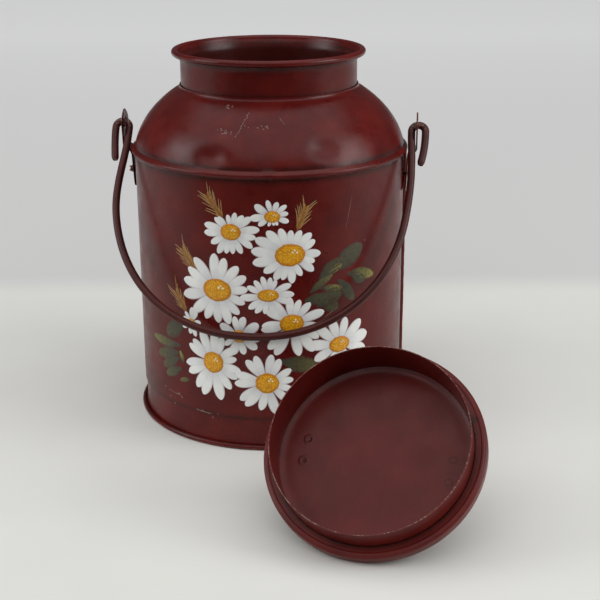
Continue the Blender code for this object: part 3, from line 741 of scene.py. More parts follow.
RIVET_HEAD_RADIUS = 0.0028
RIVET_HEAD_RISE = 0.0030
RIVET_HEIGHT = 0.1826
RIVET_SHANK_RADIUS = 0.0014
RIVET_TAIL_RISE = 0.0010
rivet_z = over_table(RIVET_HEIGHT)
head_seat = ear_foot_middle(RIVET_HEIGHT) + EAR_THICKNESS / 2 + 0.0003 + GAP
tail_seat = BODY_RADIUS - SHEET - GAP - 0.0004
rivet_line = [(0, head_seat + RIVET_HEAD_RISE)]
for i in range(1, 9):
    turn = math.pi / 2 * i / 8
    rise = head_seat + RIVET_HEAD_RISE * math.cos(turn) ** 0.8
    rivet_line.append((RIVET_HEAD_RADIUS * math.sin(turn) ** 0.9, rise))
rivet_line += [
    (RIVET_HEAD_RADIUS, head_seat),
    (RIVET_SHANK_RADIUS, head_seat),
    (RIVET_SHANK_RADIUS, tail_seat),
    (RIVET_HEAD_RADIUS * 0.9, tail_seat),
    (RIVET_HEAD_RADIUS * 0.8, tail_seat - RIVET_TAIL_RISE),
    (0, tail_seat - RIVET_TAIL_RISE),
]


def hammered(point):
    """The rivet's head keeps the marks of the hammer."""
    return point * (1 + 0.03 * noise.noise(point * 900)) if point.z > head_seat + 0.0002 else point


def rivet_marks(point, radius):
    return 0.12, 0.35, 0


for side, turn in (("right", 0), ("left", math.pi)):
    spin = Matrix.Rotation(turn, 4, "Z")
    ear_shape = rounded_strap(ear_stations(), EAR_THICKNESS, 14, 0.0006)
    ear = new_piece(f"ear_{side}_bent", ear_shape, BURGUNDY, "can", [f"ear_{side}"], pose=spin)
    cut_hole(ear, (math.cos(turn) * EAR_REACH, 0, PIVOT), EAR_HOLE_RADIUS, 0.008)
    cut_hole(ear, (math.cos(turn) * BODY_RADIUS, 0, rivet_z), 0.0017, 0.008)
    ear.data.shade_smooth()
    ear.data.set_sharp_from_angle(angle=math.radians(40))
    mark_points(ear, ear_marks)
    rivet_pose = Matrix.Translation((0, 0, rivet_z)) @ spin @ Matrix.Rotation(math.pi / 2, 4, "Y")
    rivet_shape = turned(rivet_line, hammered, steps=40, closed=False, marks=rivet_marks)
    stands_for = [f"rivet_{side}"]
    rivet = new_piece(f"rivet_{side}_headed", rivet_shape, BURGUNDY, "can", stands_for, pose=rivet_pose)

# ---- bail ----------------------------------------------------------------------------------------
# One length of iron wire, bent by hand into a hoop, with an open hook through each ear. It is painted
# with the can, and the paint is worn through on the hooks and along the grip.
BAIL_WIRE_RADIUS = 0.00275
BAIL_DROP = 0.1664
BAIL_LEG_REACH = 0.1053
BAIL_HALF_SPAN = 0.1071
BAIL_WIDEST_DROP = 0.0500
BAIL_HOOP_POWER = 2.17
BAIL_HOOK_RADIUS = 0.0051
BAIL_HOOK_LENGTH = 0.0320
BAIL_HOOK_TUCK = 0.0028
BAIL_SWAY = 0.0027
BAIL_REST_ANGLE = math.asin((BODY_RADIUS + BAIL_WIRE_RADIUS + 0.0009) / BAIL_DROP)


def half_bail():
    """The bail's right half in its own plane, as (sideways, down), from the hook's end to the middle."""
    hook_middle = BAIL_LEG_REACH + BAIL_HOOK_RADIUS
    points = []
    for i in range(12):
        back = 1 - i / 12
        down = BAIL_HOOK_RADIUS + (BAIL_HOOK_LENGTH - BAIL_HOOK_RADIUS) * back
        points.append((hook_middle + BAIL_HOOK_RADIUS - BAIL_HOOK_TUCK * back * back, down))
    points += [(x, BAIL_HOOK_RADIUS - up) for x, up in arc((hook_middle, 0), BAIL_HOOK_RADIUS, 0, 180, 20)]
    for i in range(1, 19):
        ease = (1 - math.cos(math.pi * i / 18)) / 2
        across = BAIL_LEG_REACH + (BAIL_HALF_SPAN - BAIL_LEG_REACH) * ease
        points.append((across, BAIL_HOOK_RADIUS + (BAIL_WIDEST_DROP - BAIL_HOOK_RADIUS) * i / 18))
    hoop = BAIL_DROP - BAIL_WIDEST_DROP
    for i in range(1, 49):
        turn = math.pi / 2 * i / 48
        across = BAIL_HALF_SPAN * max(math.cos(turn), 0) ** (2 / BAIL_HOOP_POWER)
        points.append((across, BAIL_WIDEST_DROP + hoop * math.sin(turn) ** (2 / BAIL_HOOP_POWER)))
    points[-1] = (0, BAIL_DROP)
    return points


def bail_sway(down):
    """Sideways shift of the bail below the hinge line: none beside the ears, all of it in the hoop."""
    way = min(max((down - 0.016) / 0.059, 0), 1)
    return -BAIL_SWAY * way * way * (3 - 2 * way)


right_half = half_bail()
bail_route = right_half + [(-across, down) for across, down in reversed(right_half[:-1])]
bail_points = [Vector((across + bail_sway(down), 0, -down)) for across, down in bail_route]
WIRE_SIDES = 20
bail_shape = bmesh.new()
bail_layer = bail_shape.verts.layers.float_color.new("marks")
bail_rings = []
for i, point in enumerate(bail_points):
    run = (bail_points[min(i + 1, len(bail_points) - 1)] - bail_points[max(i - 1, 0)]).normalized()
    outward = run.cross(Vector((0, 1, 0)))
    ring = []
    end_round = 0.72 if i in (0, len(bail_points) - 1) else 1.0
    for k in range(WIRE_SIDES):
        turn = 2 * math.pi * k / WIRE_SIDES
        swell = 1 + 0.035 * noise.noise(point * 130 + Vector((0, turn, 0)))
        reach = min(BAIL_WIRE_RADIUS * swell, BAIL_WIRE_RADIUS) * end_round
        offset = outward * math.cos(turn) + Vector((0, 1, 0)) * math.sin(turn)
        vert = bail_shape.verts.new(point + offset * reach)
        hook = near(point.z, 0.002, 0.010)
        grip = near(point.x, 0, 0.045) * (point.z < -0.12)
        vert[bail_layer] = (0.22 + 0.24 * hook + 0.07 * grip, 0.25, 0, 1)
        ring.append(vert)
    bail_rings.append(ring)
join_rings(bail_shape, bail_rings)
bail_shape.faces.new(bail_rings[0])
bail_shape.faces.new(bail_rings[-1])
bail_pose = Matrix.Translation((0, 0, PIVOT)) @ Matrix.Rotation(-BAIL_REST_ANGLE, 4, "X")
WIRE_ENAMEL = enamel("worn_burgundy_enamel_on_wire", "#42120F", "#53201B", 0.36)
bail = new_piece("bail_wire_bent", bail_shape, WIRE_ENAMEL, "bail", ["bail"], pose=bail_pose)

# ---- lid -----------------------------------------------------------------------------------------
# A plug ring is soldered under a flanged cover with a raised crown, and a strap handle is spot-welded
# on top. Off the can the lid stands tipped, on its skirt's edge and on the handle, mouth to the front.
PLUG_RADIUS = NECK_RADIUS - SHEET - 0.0004
PLUG_WALL = 0.0006
PLUG_DEPTH = 0.0184
LID_RADIUS = 0.0713
LID_TOP = PLUG_DEPTH + 0.0100
LID_TOP_CORNER = 0.0022
LID_FLANGE_CORNER = 0.0016
LID_CROWN_RISE = 0.0016
FLANGE_BEAD = 0.0050
FLANGE_BEAD_HALF_WIDTH = 0.0009
FLANGE_BEAD_DEPTH = 0.0003
LID_CROWN_RADIUS = 0.0590
LID_HEADING = math.radians(-13.4)
HANDLE_HALF_SPAN = 0.0400
HANDLE_RISE = 0.0484
HANDLE_HALF_WIDTH = 0.0120
HANDLE_THICKNESS = 0.0013
HANDLE_POWER = 2.5
HANDLE_BEND = 0.0030
handle_top = LID_TOP + LID_CROWN_RISE + GAP + HANDLE_RISE
corner_across = LID_RADIUS - LID_TOP_CORNER - HANDLE_HALF_WIDTH
corner_below = handle_top - (LID_TOP - LID_TOP_CORNER)
lid_tip = math.atan2(corner_across, corner_below)
lid_tip += math.asin(LID_TOP_CORNER / math.hypot(corner_across, corner_below))
mouth_height = HANDLE_HALF_WIDTH * math.cos(lid_tip) + handle_top * math.sin(lid_tip)
LID_STAND_DISTANCE = 0.2284
LID_STAND_ANGLE = math.radians(21.71)
lid_across = LID_STAND_DISTANCE * math.sin(LID_STAND_ANGLE)
lid_forward = -LID_STAND_DISTANCE * math.cos(LID_STAND_ANGLE)
lid_place = Matrix.Translation((lid_across, lid_forward, over_table(mouth_height)))
lid_turn = Matrix.Rotation(LID_HEADING, 4, "Z") @ Matrix.Rotation(-math.pi / 2 - lid_tip, 4, "X")
lid_pose = lid_place @ lid_turn
LID_ENAMEL = enamel("burgundy_enamel_on_lid", "#520F0B", "#601812", 0.33)


def plug_marks(point, radius):
    outside = radius > plug_middle
    edge = 0.40 * near(point.z, 0.0003, 0.0012)
    rub = 0.16 * outside * max(0, noise.noise(point * 75) + 0.25)
    # Grime and painted shade where the plug meets the cover's flange.
    return edge + rub, 0.9 * near(point.z, PLUG_DEPTH, 0.0012) * outside, 0


plug_middle = PLUG_RADIUS - PLUG_WALL / 2
plug_top = LID_TOP - SHEET - GAP
plug_line = fine_line([(plug_middle, plug_top), (plug_middle, 0.0003)], 0.0015)
plug = turned(sheet_section(plug_line, PLUG_WALL), sprung, marks=plug_marks)
new_piece("lid_plug_ring", plug, LID_ENAMEL, "lid", ["lid_plug"], pose=lid_pose)


def lid_marks(point, radius):
    rub = 0.20 * near(radius, LID_RADIUS, 0.0009) * max(0, 0.6 + noise.noise(point * 60))
    rub += 0.10 * near(radius, PLUG_RADIUS + FLANGE_BEAD, 0.0014)
    floor_rub = 0.12 * max(noise.noise(point * 55 + Vector((3, 1, 0))), 0) * (radius < PLUG_RADIUS)
    # Grime and painted shade in the corner where the flange meets the plug; the stain is a real stain.
    grime_and_painted_shade = 0.9 * near(radius, PLUG_RADIUS + 0.0004, 0.0012)
    stain = near(point.x, 0.0597, 0.0022) * near(point.y, -0.0291, 0.0020)
    return rub + floor_rub, min(grime_and_painted_shade + 1.4 * stain, 1.4), 0


def oil_canned(point):
    """The lid's thin floor has a few shallow hollows."""
    depth = 0.00022 * noise.noise(Vector((point.x, point.y, 0)) * 32)
    return point + Vector((0, 0, depth * (point.xy.length < LID_CROWN_RADIUS - 0.003)))


skirt_line = LID_RADIUS - SHEET / 2
crown_middle = LID_TOP + LID_CROWN_RISE - SHEET / 2
lid_line = fine_line([(0, crown_middle), (LID_CROWN_RADIUS - 0.0006, crown_middle)], 0.0022)
lid_line += [
    (LID_CROWN_RADIUS + 0.0012, crown_middle - 0.0002),
    (LID_CROWN_RADIUS + 0.0024, crown_middle - 0.0006),
    (LID_CROWN_RADIUS + 0.0034, crown_middle - 0.0011),
    (LID_CROWN_RADIUS + 0.0048, LID_TOP - SHEET / 2),
]
top_corner = (skirt_line - LID_TOP_CORNER, LID_TOP - SHEET / 2 - LID_TOP_CORNER)
lid_line += arc(top_corner, LID_TOP_CORNER, 90, 0, 8)
flange_centre = (skirt_line - LID_FLANGE_CORNER, PLUG_DEPTH + SHEET / 2 + LID_FLANGE_CORNER)
lid_line += arc(flange_centre, LID_FLANGE_CORNER, 0, -90, 7)
# A light bead is rolled into the flange, halfway to the plug.
flange_middle = PLUG_DEPTH + SHEET / 2
for i in range(9):
    turn = math.pi * i / 8
    reach = PLUG_RADIUS + FLANGE_BEAD + FLANGE_BEAD_HALF_WIDTH * math.cos(turn)
    lid_line.append((reach, flange_middle - FLANGE_BEAD_DEPTH * math.sin(turn)))
lid_line.append((PLUG_RADIUS + 0.0016, flange_middle))
lid_line.append((PLUG_RADIUS + GAP, flange_middle))
cover_shape = turned(sheet_section(lid_line, SHEET), oil_canned, closed=False, marks=lid_marks)
cover = new_piece("lid_cover_pressed", cover_shape, LID_ENAMEL, "lid", ["lid_cover"], pose=lid_pose)

# Four spot welds hold the handle's feet; each shows inside as a shallow raised ring.
WELD_RADIUS = 0.0034
WELD_SIDES = 32
weld_shape = bmesh.new()
weld_layer = weld_shape.verts.layers.float_color.new("marks")
floor_z = LID_TOP + LID_CROWN_RISE - SHEET
for weld_x in (-0.0460, 0.0485):
    for weld_y in (-0.0045, 0.0105):
        rings = []
        for i in range(11):
            way = i / 10
            rise = 0.00032 * math.sin(math.pi * min(way * 1.25, 1)) ** 2 + 0.00006
            rings.append([])
            reach = WELD_RADIUS * (1.18 - way * 1.18) + 0.00001
            for k in range(WELD_SIDES):
                turn = 2 * math.pi * k / WELD_SIDES
                offset = Vector((reach * math.cos(turn), reach * math.sin(turn), 0.00012 - rise))
                vert = weld_shape.verts.new(Vector((weld_x, weld_y, floor_z)) + offset)
                vert[weld_layer] = (0.10, 0.65 * near(reach, WELD_RADIUS * 0.55, 0.0006), 0, 1)
                rings[-1].append(vert)
        join_rings(weld_shape, rings)
        weld_shape.faces.new(rings[-1])
        weld_shape.faces.new(rings[0])
new_piece("lid_spot_welds", weld_shape, LID_ENAMEL, "lid", pose=lid_pose)


def handle_stations():
    """The strap handle's middle line from foot to foot, with its half widths."""
    seat = LID_TOP + LID_CROWN_RISE + GAP + HANDLE_THICKNESS / 2
    rise = HANDLE_RISE - HANDLE_THICKNESS
    end = HANDLE_HALF_SPAN + 0.0135
    half = []
    for i in range(7):
        part_way = (i / 6) ** 1.4
        across = end - 0.0060 * part_way
        half.append(((across, seat), HANDLE_HALF_WIDTH * (0.4 + 0.6 * math.sqrt(1 - (1 - part_way) ** 2))))
    half.append(((HANDLE_HALF_SPAN + HANDLE_BEND, seat), HANDLE_HALF_WIDTH))
    bend = arc((HANDLE_HALF_SPAN + HANDLE_BEND, seat + HANDLE_BEND), HANDLE_BEND, 270, 180, 6)
    half += [(point, HANDLE_HALF_WIDTH) for point in bend[1:]]
    for i in range(1, 25):
        turn = math.pi / 2 * i / 24
        across = HANDLE_HALF_SPAN * max(math.cos(turn), 0) ** (2 / HANDLE_POWER)
        up = HANDLE_BEND + (rise - HANDLE_BEND) * math.sin(turn) ** (2 / HANDLE_POWER)
        half.append(((across, seat + up), HANDLE_HALF_WIDTH))
    half[-1] = ((0, seat + rise), HANDLE_HALF_WIDTH)
    return half + [((-x, z), width) for (x, z), width in reversed(half[:-1])]


def handle_marks(point):
    local = lid_pose.inverted() @ point
    edge = 0.24 * near(abs(local.y), HANDLE_HALF_WIDTH, 0.0012)
    return edge + 0.12 * (local.z > handle_top - 0.004), 0.3 * near(local.z, LID_TOP + 0.003, 0.002), 0


handle = rounded_strap(handle_stations(), HANDLE_THICKNESS, 14, 0.0006)
lid_strap = new_piece("lid_handle_strap", handle, LID_ENAMEL, "lid", ["lid_handle"], pose=lid_pose)
mark_points(lid_strap, handle_marks)

# ---- painted daisies -----------------------------------------------------------------------------
# A bunch of daisies brushed on the front in artist's acrylics. Each petal is one loaded brush stroke,
# laid over the one before, so it stands a tenth of a millimetre proud of the enamel.
MM = 0.001
STROKE_BODY = 0.00010
random.seed(11)


def on_body(across, up, proud):
    """A place on the can's skin: millimetres round it from the front, and up from the table."""
    turn = across * MM / BODY_RADIUS
    skin = Vector((math.sin(turn), -math.cos(turn), 0)) * BODY_RADIUS
    skin.z = over_table(up * MM)
    return slightly_dented(skin) + Vector((math.sin(turn), -math.cos(turn), 0)) * proud


def add_stroke(
    paint, root, heading, length, width, lift, curl=0.0, widest=0.62, root_share=0.3, tint=0.0, skin=on_body
):
    """Adds one brush stroke: root in mm, heading in radians from the right, length and width in mm."""
    layer = paint.verts.layers.float_color["strokes"]
    along = Vector((math.cos(heading), math.sin(heading)))
    aside = Vector((-along.y, along.x))
    rows = []
    for i in range(13):
        way = i / 7 * widest if i <= 7 else widest + (1 - widest) * math.sin(math.pi / 2 * (i - 7) / 5)
        if way <= widest:
            half = root_share + (1 - root_share) * math.sin(math.pi / 2 * way / widest)
        else:
            half = math.sqrt(max(1 - ((way - widest) / (1 - widest)) ** 2, 0.02))
        spine = Vector(root) + along * (length * way) + aside * (curl * length * way * way)
        row = []
        for k in range(9):
            side = -1 + k / 4
            spot = spine + aside * (side * half * width / 2)
            ridge = 0.75 + 0.25 * math.cos(side * math.pi * 2.5)
            proud = (lift + STROKE_BODY * ridge) if 0 < k < 8 else max(lift - STROKE_BODY, 0.00001)
            vert = paint.verts.new(skin(spot.x, spot.y, proud))
            vert[layer] = (way, abs(side), tint, 1)
            row.append(vert)
        rows.append(row)
    for one, other in zip(rows, rows[1:]):
        for k in range(8):
            paint.faces.new((one[k], one[k + 1], other[k + 1], other[k]))


def new_paint():
    paint = bmesh.new()
    paint.verts.layers.float_color.new("strokes")
    return paint


def petal_white(name):
    """Artist's acrylic, dried satin: white, with lilac-grey left in it towards the petal's root and in
    streaks along it, and a thin burgundy-tinted line at its edge where the enamel shows through."""
    finish, shader = new_finish(name, IOR=1.46, Roughness=0.42)
    place = add_node(finish, "TexCoord").outputs["Object"]
    strokes = add_node(finish, "Attribute", attribute_name="strokes").outputs["Color"]
    parts = add_node(finish, "SeparateColor", {0: strokes})
    # Streaks from the bristles, 0.5 mm wide in the work and 0.9 mm here so that they show.
    streaks = add_node(
        finish, "TexNoise", {"Vector": place, "Scale": per_mm(0.9), "Detail": 3}
    ).outputs["Fac"]
    root = add_node(
        finish, "MapRange", {"Value": parts.outputs[0], "From Min": 0.55, "From Max": 0.05}
    ).outputs["Result"]
    root = add_node(
        finish, "Math", {0: root, 1: streaks, 2: parts.outputs[2]}, operation="MULTIPLY_ADD", use_clamp=True
    ).outputs[0]
    tone = add_node(
        finish, "Mix", {0: root, 6: srgb("#F1F3F0"), 7: srgb("#AEACB8")}, data_type="RGBA"
    ).outputs[2]
    edge = add_node(
        finish, "MapRange", {"Value": parts.outputs[1], "From Min": 0.72, "From Max": 1.0, "To Max": 0.55}
    ).outputs["Result"]
    colour = add_node(finish, "Mix", {0: edge, 6: tone, 7: srgb("#94767C")}, data_type="RGBA").outputs[2]
    bump = add_node(finish, "Bump", {"Strength": 0.5, "Distance": 0.0001, "Height": streaks}).outputs[0]
    link_surface(finish, shader, Base_Color=colour, Normal=bump)
    return finish


# Each daisy, from the first painted to the last: eye's centre across and up, eye's half width and half
# height, how far the petals reach left, right, down and up from it, their number, and the first one's
# heading in degrees.
DAISIES = (
    ((62, 76.5), (8.1, 5.7), (25, 27, 16, 23), 11, 8),
    ((26, 96.5), (8.3, 6.7), (25, 24, 29, 21), 14, 20),
    ((-49, 92.6), (2.9, 2.5), (9, 8, 11, 11), 9, 12),
    ((-11.5, 87), (5.1, 4.5), (15, 17, 16, 18), 10, 35),
    ((9.5, 118), (7.2, 4.3), (19, 19, 15, 14), 14, 5),
    ((-27, 120), (10.3, 7.9), (29, 23, 25, 26), 15, 4),
    ((13, 174.5), (5.2, 4.0), (16, 13, 7, 12), 11, 14),
    ((-16, 163), (7.1, 5.7), (21, 21, 18, 14), 16, 10),
    ((25, 147), (10.2, 7.9), (28, 21, 20, 21), 17, 3),
    ((-31.5, 65), (7.8, 8.0), (27, 21, 28, 25), 15, 15),
    ((8, 52), (8.3, 7.6), (25, 20, 25, 22), 14, 6),
)
PETAL = petal_white("petal_white_acrylic")
petals = new_paint()
for order, (eye, eye_half, (left, right, down, up), count, first) in enumerate(DAISIES):
    for i in range(count):
        heading = math.radians(first + 360 * (i + random.uniform(-0.24, 0.24)) / count)
        reach_across = right if math.cos(heading) > 0 else left
        reach_up = up if math.sin(heading) > 0 else down
        reach = 1 / math.hypot(math.cos(heading) / reach_across, math.sin(heading) / reach_up)
        reach *= random.uniform(0.84, 1.05)
        root_reach = 0.55 / math.hypot(math.cos(heading) / eye_half[0], math.sin(heading) / eye_half[1])
        root = (eye[0] + root_reach * math.cos(heading), eye[1] + root_reach * math.sin(heading))
        width = 2 * math.pi * 0.64 * reach / count * random.uniform(0.82, 1.12)
        width = min(max(width, reach * 0.30), reach * 0.46)
        lift = 0.00004 + order * 0.000018 + (i * 7 % 5) * 0.000009
        curl = random.uniform(-0.07, 0.07)
        shade = random.choice((0.0, 0.0, 0.06, 0.14))
        add_stroke(petals, root, heading, reach - root_reach, width, lift, curl, 0.64, 0.34, shade)
new_piece("daisy_petals", petals, PETAL, "can", sharp_deg=80)


def ochre_impasto(name):
    """Thick ochre acrylic, stippled on with the brush's end: satin, darker orange in its hollows."""
    finish, shader = new_finish(name, IOR=1.46, Roughness=0.40)
    place = add_node(finish, "TexCoord").outputs["Object"]
    strokes = add_node(finish, "Attribute", attribute_name="strokes").outputs["Color"]
    parts = add_node(finish, "SeparateColor", {0: strokes})
    # Stipple dots 1.1 mm apart.
    dots = add_node(finish, "TexVoronoi", {"Vector": place, "Scale": per_mm(1.1)}).outputs["Distance"]
    hollow = add_node(
        finish, "MapRange", {"Value": dots, "From Min": 0.30, "From Max": 0.62}
    ).outputs["Result"]
    rim = add_node(
        finish, "MapRange", {"Value": parts.outputs[0], "From Min": 0.72, "From Max": 1.0}
    ).outputs["Result"]
    dark = add_node(
        finish, "Math", {0: hollow, 1: 0.75, 2: rim}, operation="MULTIPLY_ADD", use_clamp=True
    ).outputs[0]
    colour = add_node(
        finish, "Mix", {0: dark, 6: srgb("#F0B31C"), 7: srgb("#C47D10")}, data_type="RGBA"
    ).outputs[2]
    bump = add_node(
        finish, "Bump", {"Strength": 0.6, "Distance": 0.0003, "Height": dots}, invert=True
    ).outputs[0]
    link_surface(finish, shader, Base_Color=colour, Normal=bump)
    return finish


def add_blob(paint, centre, half, thick, lift, rough_edge, steps=40, skin=on_body):
    """Adds a thick dab of paint with an uneven edge and a stippled top; sizes in mm, heights in metres."""
    layer = paint.verts.layers.float_color["strokes"]
    rings = []
    for i in range(9):
        way = 1 - i / 8
        ring = []
        for k in range(steps):
            turn = 2 * math.pi * k / steps
            across, up = math.cos(turn), math.sin(turn)
            reach = way * (1 + rough_edge * noise.noise(Vector((across, up, centre[0])) * 3.5))
            spot = (centre[0] + half[0] * reach * across, centre[1] + half[1] * reach * up)
            stipple = 0.5 + 0.5 * noise.noise(Vector((spot[0], spot[1], 0)) * 1.3)
            proud = lift + thick * min(1, (1 - way) * 3.2 + 0.05) * (0.55 + 0.45 * stipple)
            vert = paint.verts.new(skin(*spot, proud if i else lift - STROKE_BODY))
            vert[layer] = (way, stipple, 0, 1)
            ring.append(vert)
        rings.append(ring)
    join_rings(paint, rings)


EYE_LIFT = 0.00034
eyes = new_paint()
lights = new_paint()
for eye, eye_half, _, _, _ in DAISIES:
    add_blob(eyes, eye, (eye_half[0] * 1.05, eye_half[1] * 1.05), 0.00055, EYE_LIFT, 0.05)
    # Three cream dabs on each eye's upper right are painted highlights.
    for across, up in ((0.30, 0.42), (0.46, 0.22), (0.16, 0.24)):
        dab = (eye[0] + across * eye_half[0], eye[1] + up * eye_half[1])
        dab_half = (0.085 * eye_half[0], 0.10 * eye_half[1])
        add_blob(lights, dab, dab_half, 0.00022, EYE_LIFT + 0.00050, 0.3, 10)
new_piece("daisy_eyes", eyes, ochre_impasto("ochre_acrylic_impasto"), "can", sharp_deg=80)


def brushed_tint(name, root_colour, tip_colour, ground_share, roughness=0.45):
    """Thinned artist's acrylic: one colour running into another along the stroke, with the burgundy
    enamel showing through where the brush was nearly dry."""
    finish, shader = new_finish(name, IOR=1.46, Roughness=roughness)
    place = add_node(finish, "TexCoord").outputs["Object"]
    strokes = add_node(finish, "Attribute", attribute_name="strokes").outputs["Color"]
    parts = add_node(finish, "SeparateColor", {0: strokes})
    run = add_node(
        finish, "MapRange", {"Value": parts.outputs[0], "From Min": 0.15, "From Max": 0.95}
    ).outputs["Result"]
    run = add_node(finish, "Math", {0: run, 1: parts.outputs[2]}, operation="MULTIPLY").outputs[0]
    tone = add_node(
        finish, "Mix", {0: run, 6: srgb(root_colour), 7: srgb(tip_colour)}, data_type="RGBA"
    ).outputs[2]
    # Dry-brush gaps 2 mm across.
    gaps = add_node(finish, "TexNoise", {"Vector": place, "Scale": per_mm(2), "Detail": 4}).outputs["Fac"]
    thin = add_node(
        finish, "MapRange", {"Value": gaps, "From Min": 0.42, "From Max": 0.68, "To Max": ground_share}
    ).outputs["Result"]
    edge = add_node(
        finish, "MapRange", {"Value": parts.outputs[1], "From Min": 0.6, "From Max": 1.0, "To Max": 0.5}
    ).outputs["Result"]
    thin = add_node(finish, "Math", {0: thin, 1: edge}, operation="ADD", use_clamp=True).outputs[0]
    colour = add_node(finish, "Mix", {0: thin, 6: tone, 7: srgb("#430F0D")}, data_type="RGBA").outputs[2]
    bump = add_node(finish, "Bump", {"Strength": 0.4, "Distance": 0.0001, "Height": gaps}).outputs[0]
    link_surface(finish, shader, Base_Color=colour, Normal=bump)
    return finish


# Cream colour of the painted highlights on the eyes.
PAINTED_HIGHLIGHT_DAB = brushed_tint("cream_painted_highlight_dabs", "#F2E7BE", "#F6EFD2", 0.0, 0.35)
new_piece("daisy_eye_painted_highlights", lights, PAINTED_HIGHLIGHT_DAB, "can", sharp_deg=80)

# ---- painted wheat and leaves --------------------------------------------------------------------
# Ears of wheat in ochre with fine pale awns, and leaves in dull green touched with yellow. They were
# painted first, thinly, so the petals lie over them and the enamel shows through.

# Each ear of wheat: root and tip, across and up in mm.
WHEAT = (
    ((-21, 172), (-34, 189)),
    ((30, 164), (37, 182)),
    ((-43, 131), (-56, 147)),
    ((-53, 99), (-64, 114)),
)


def stroke_run(root, tip):
    """The step from a stroke's root to its tip, and its heading."""
    run = Vector(tip) - Vector(root)
    return run, math.atan2(run.y, run.x)


wheat = new_paint()
awns = new_paint()
for root, tip in WHEAT:
    run, heading = stroke_run(root, tip)
    add_stroke(wheat, root, heading, run.length * 0.9, 1.3, 0.00002, 0, 0.3, 0.7, 0.4)
    for i in range(7):
        way = 0.05 + 0.125 * i
        spot = Vector(root) + run * way
        for side in (-1, 1):
            lean = heading + side * random.uniform(0.42, 0.60)
            length = random.uniform(4.2, 5.2)
            tint = random.uniform(0.3, 1)
            add_stroke(wheat, spot, lean, length, 1.9, 0.00003, -0.06 * side, 0.5, 0.4, tint)
            end = Vector(spot) + Vector((math.cos(lean), math.sin(lean))) * 3.6
            lean = heading + side * random.uniform(0.30, 0.62)
            length = random.uniform(6.0, 10.5)
            add_stroke(awns, end, lean, length, 0.7, 0.00003, 0.03 * side, 0.25, 0.8, 0.5)
OCHRE = brushed_tint("ochre_acrylic", "#8A5A28", "#C39444", 0.25)
STRAW = brushed_tint("straw_acrylic", "#A5814F", "#C9A876", 0.25)
new_piece("wheat_kernels", wheat, OCHRE, "can", sharp_deg=80)
new_piece("wheat_awns", awns, STRAW, "can", sharp_deg=80)

# Each leaf: root, tip, width, curl, and how yellow its tip is.
LEAVES = (
    ((56, 134), (82, 146), 15, 0.05, 0.1),
    ((46, 128), (63, 142), 10, -0.10, 0.1),
    ((50, 131), (64, 135), 6, 0.10, 0.9),
    ((39, 118), (54, 132), 6, -0.14, 0.35),
    ((46, 121), (64, 120.5), 5, -0.10, 0.8),
    ((68, 128), (94, 126), 9, -0.12, 0.9),
    ((72, 127), (84, 120), 9, 0.05, 0.1),
    ((60, 125), (76, 110), 9, -0.12, 0.1),
    ((44, 108), (63, 119), 14, -0.05, 0.1),
    ((35, 113), (52, 113), 9, 0.06, 0.1),
    ((47, 112), (60, 103), 10, 0.08, 0.15),
    ((18, 69), (44, 61), 13, 0.08, 0.25),
    ((-57, 88), (-76, 80), 13, 0.10, 0.1),
    ((-60, 72), (-94, 68), 8, -0.08, 0.5),
    ((-62, 66), (-88, 60), 9, 0.06, 0.2),
    ((-58, 58), (-60, 68), 4, 0.10, 0.9),
    ((-62, 62), (-82, 52), 9, 0.06, 0.15),
    ((-60, 54), (-78, 46), 8, 0.05, 0.2),
    ((-52, 47), (-62, 46), 4, 0.15, 0.6),
)
leaves = new_paint()
for order, (root, tip, width, curl, yellow) in enumerate(LEAVES):
    run, heading = stroke_run(root, tip)
    lift = 0.000012 + order * 0.000003
    add_stroke(leaves, root, heading, run.length, width, lift, curl, 0.52, 0.12, yellow)
LEAF_GREEN = brushed_tint("leaf_green_acrylic", "#3A3E2E", "#98923C", 0.6)
new_piece("painted_leaves", leaves, LEAF_GREEN, "can", sharp_deg=80)

# ---- chips and scratches -------------------------------------------------------------------------
# Knocks along the foot have flaked the enamel down to pale primer and tinplate, and a few long
# scratches cross the body and the shoulder. Each chip is its place, across and up, and its size, in mm.
CHIPS = (
    ((-80, 34), 1.3), ((-75, 33), 1.0), ((-64, 33), 1.2), ((-61, 31), 0.9), ((-74, 28), 0.8),
    ((-69, 24), 0.9), ((-46, 25), 1.0), ((-42, 25), 1.3), ((-36, 24), 1.0), ((-33, 21.5), 0.8),
    ((26, 61), 1.2), ((-29, 25), 0.7), ((84, 150), 0.6), ((-88, 120), 0.7), ((130, 60), 1.0),
    ((190, 35), 1.2), ((230, 28), 0.9), ((-150, 40), 1.1), ((-190, 150), 0.8), ((160, 170), 0.9),
)
# Each scratch: root, tip and width.
SCRATCHES = (
    ((50, 99), (61, 105), 0.5),
    ((57, 95), (66, 101), 0.4),
    ((-75, 33), (-60, 31.5), 0.4),
    ((-48, 25), (-33, 23.5), 0.5),
    ((66, 160), (73, 185), 0.4),
    ((140, 120), (165, 96), 0.5),
)
chips_and_highlight_specks = new_paint()
for (across, up), size in CHIPS:
    add_blob(chips_and_highlight_specks, (across, up), (size * 0.75, size * 0.55), 0.00004, 0.00004, 0.9, 14)
for root, tip, width in SCRATCHES:
    run, heading = stroke_run(root, tip)
    add_stroke(chips_and_highlight_specks, root, heading, run.length, width, 0.000012, 0.05, 0.4, 0.2, 0.5)


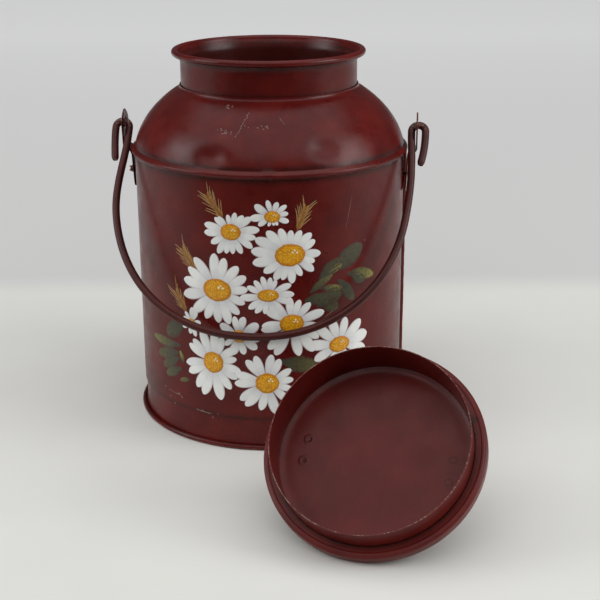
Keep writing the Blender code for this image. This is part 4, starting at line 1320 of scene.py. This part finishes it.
def on_shoulder(across, up, proud):
    """A place on the shoulder: millimetres round it at the body's radius, and up from the table."""
    turn = across * MM / BODY_RADIUS
    rise = min(max((up * MM - DOME_EQUATOR) / DOME_HALF_HEIGHT, 0), 0.99)
    reach = DOME_RADIUS * math.sqrt(1 - rise * rise)
    around = Vector((math.sin(turn), -math.cos(turn), 0)) * reach
    outward = around / DOME_RADIUS**2 + Vector((0, 0, rise / DOME_HALF_HEIGHT))
    return knocked(around + Vector((0, 0, over_table(up * MM)))) + outward.normalized() * proud


# Light specks in the shoulder's long knocks and under the neck: partly rubbed paint, partly painted
# highlight where the knocks catch the light. Each patch of them is its middle, across and up, and its
# half width and half height, in mm.
FLECK_AND_HIGHLIGHT_PATCHES = ((-25, 229.5, 8, 1.2), (-24, 230, 6, 1.6), (2, 232.8, 11, 1.0), (-26, 243.5, 4, 1.2))
for i in range(46):
    middle_across, middle_up, half_width, half_height = random.choice(FLECK_AND_HIGHLIGHT_PATCHES)
    across = middle_across + random.uniform(-1, 1) * half_width
    up = middle_up + random.uniform(-1, 1) * half_height
    size = random.uniform(0.22, 0.50)
    add_blob(chips_and_highlight_specks, (across, up), (size * 1.4, size * 0.7), 0.00004, 0.00008, 0.9, 10, on_shoulder)
# A chain of flecks up one scratch, and a thin scratch beside it.
for i in range(12):
    across = -14 + 7.5 * i / 11 + random.uniform(-0.5, 0.5)
    up = 227 + 13.5 * i / 11
    add_blob(chips_and_highlight_specks, (across, up), (0.40, 0.50), 0.00004, 0.00008, 0.9, 10, on_shoulder)
add_stroke(chips_and_highlight_specks, (20, 238.5), math.radians(-48), 6.5, 0.45, 0.00006, 0.05, 0.4, 0.2, 0.5, on_shoulder)
# Pale primer and tinplate for the chips and scratches, also used as painted highlight in the shoulder's
# specks.
PRIMER_AND_HIGHLIGHT = brushed_tint("primer_tinplate_and_highlight", "#8E766C", "#A8958A", 0.6)
new_piece("paint_chips_and_highlight_specks", chips_and_highlight_specks, PRIMER_AND_HIGHLIGHT, "can", sharp_deg=80)
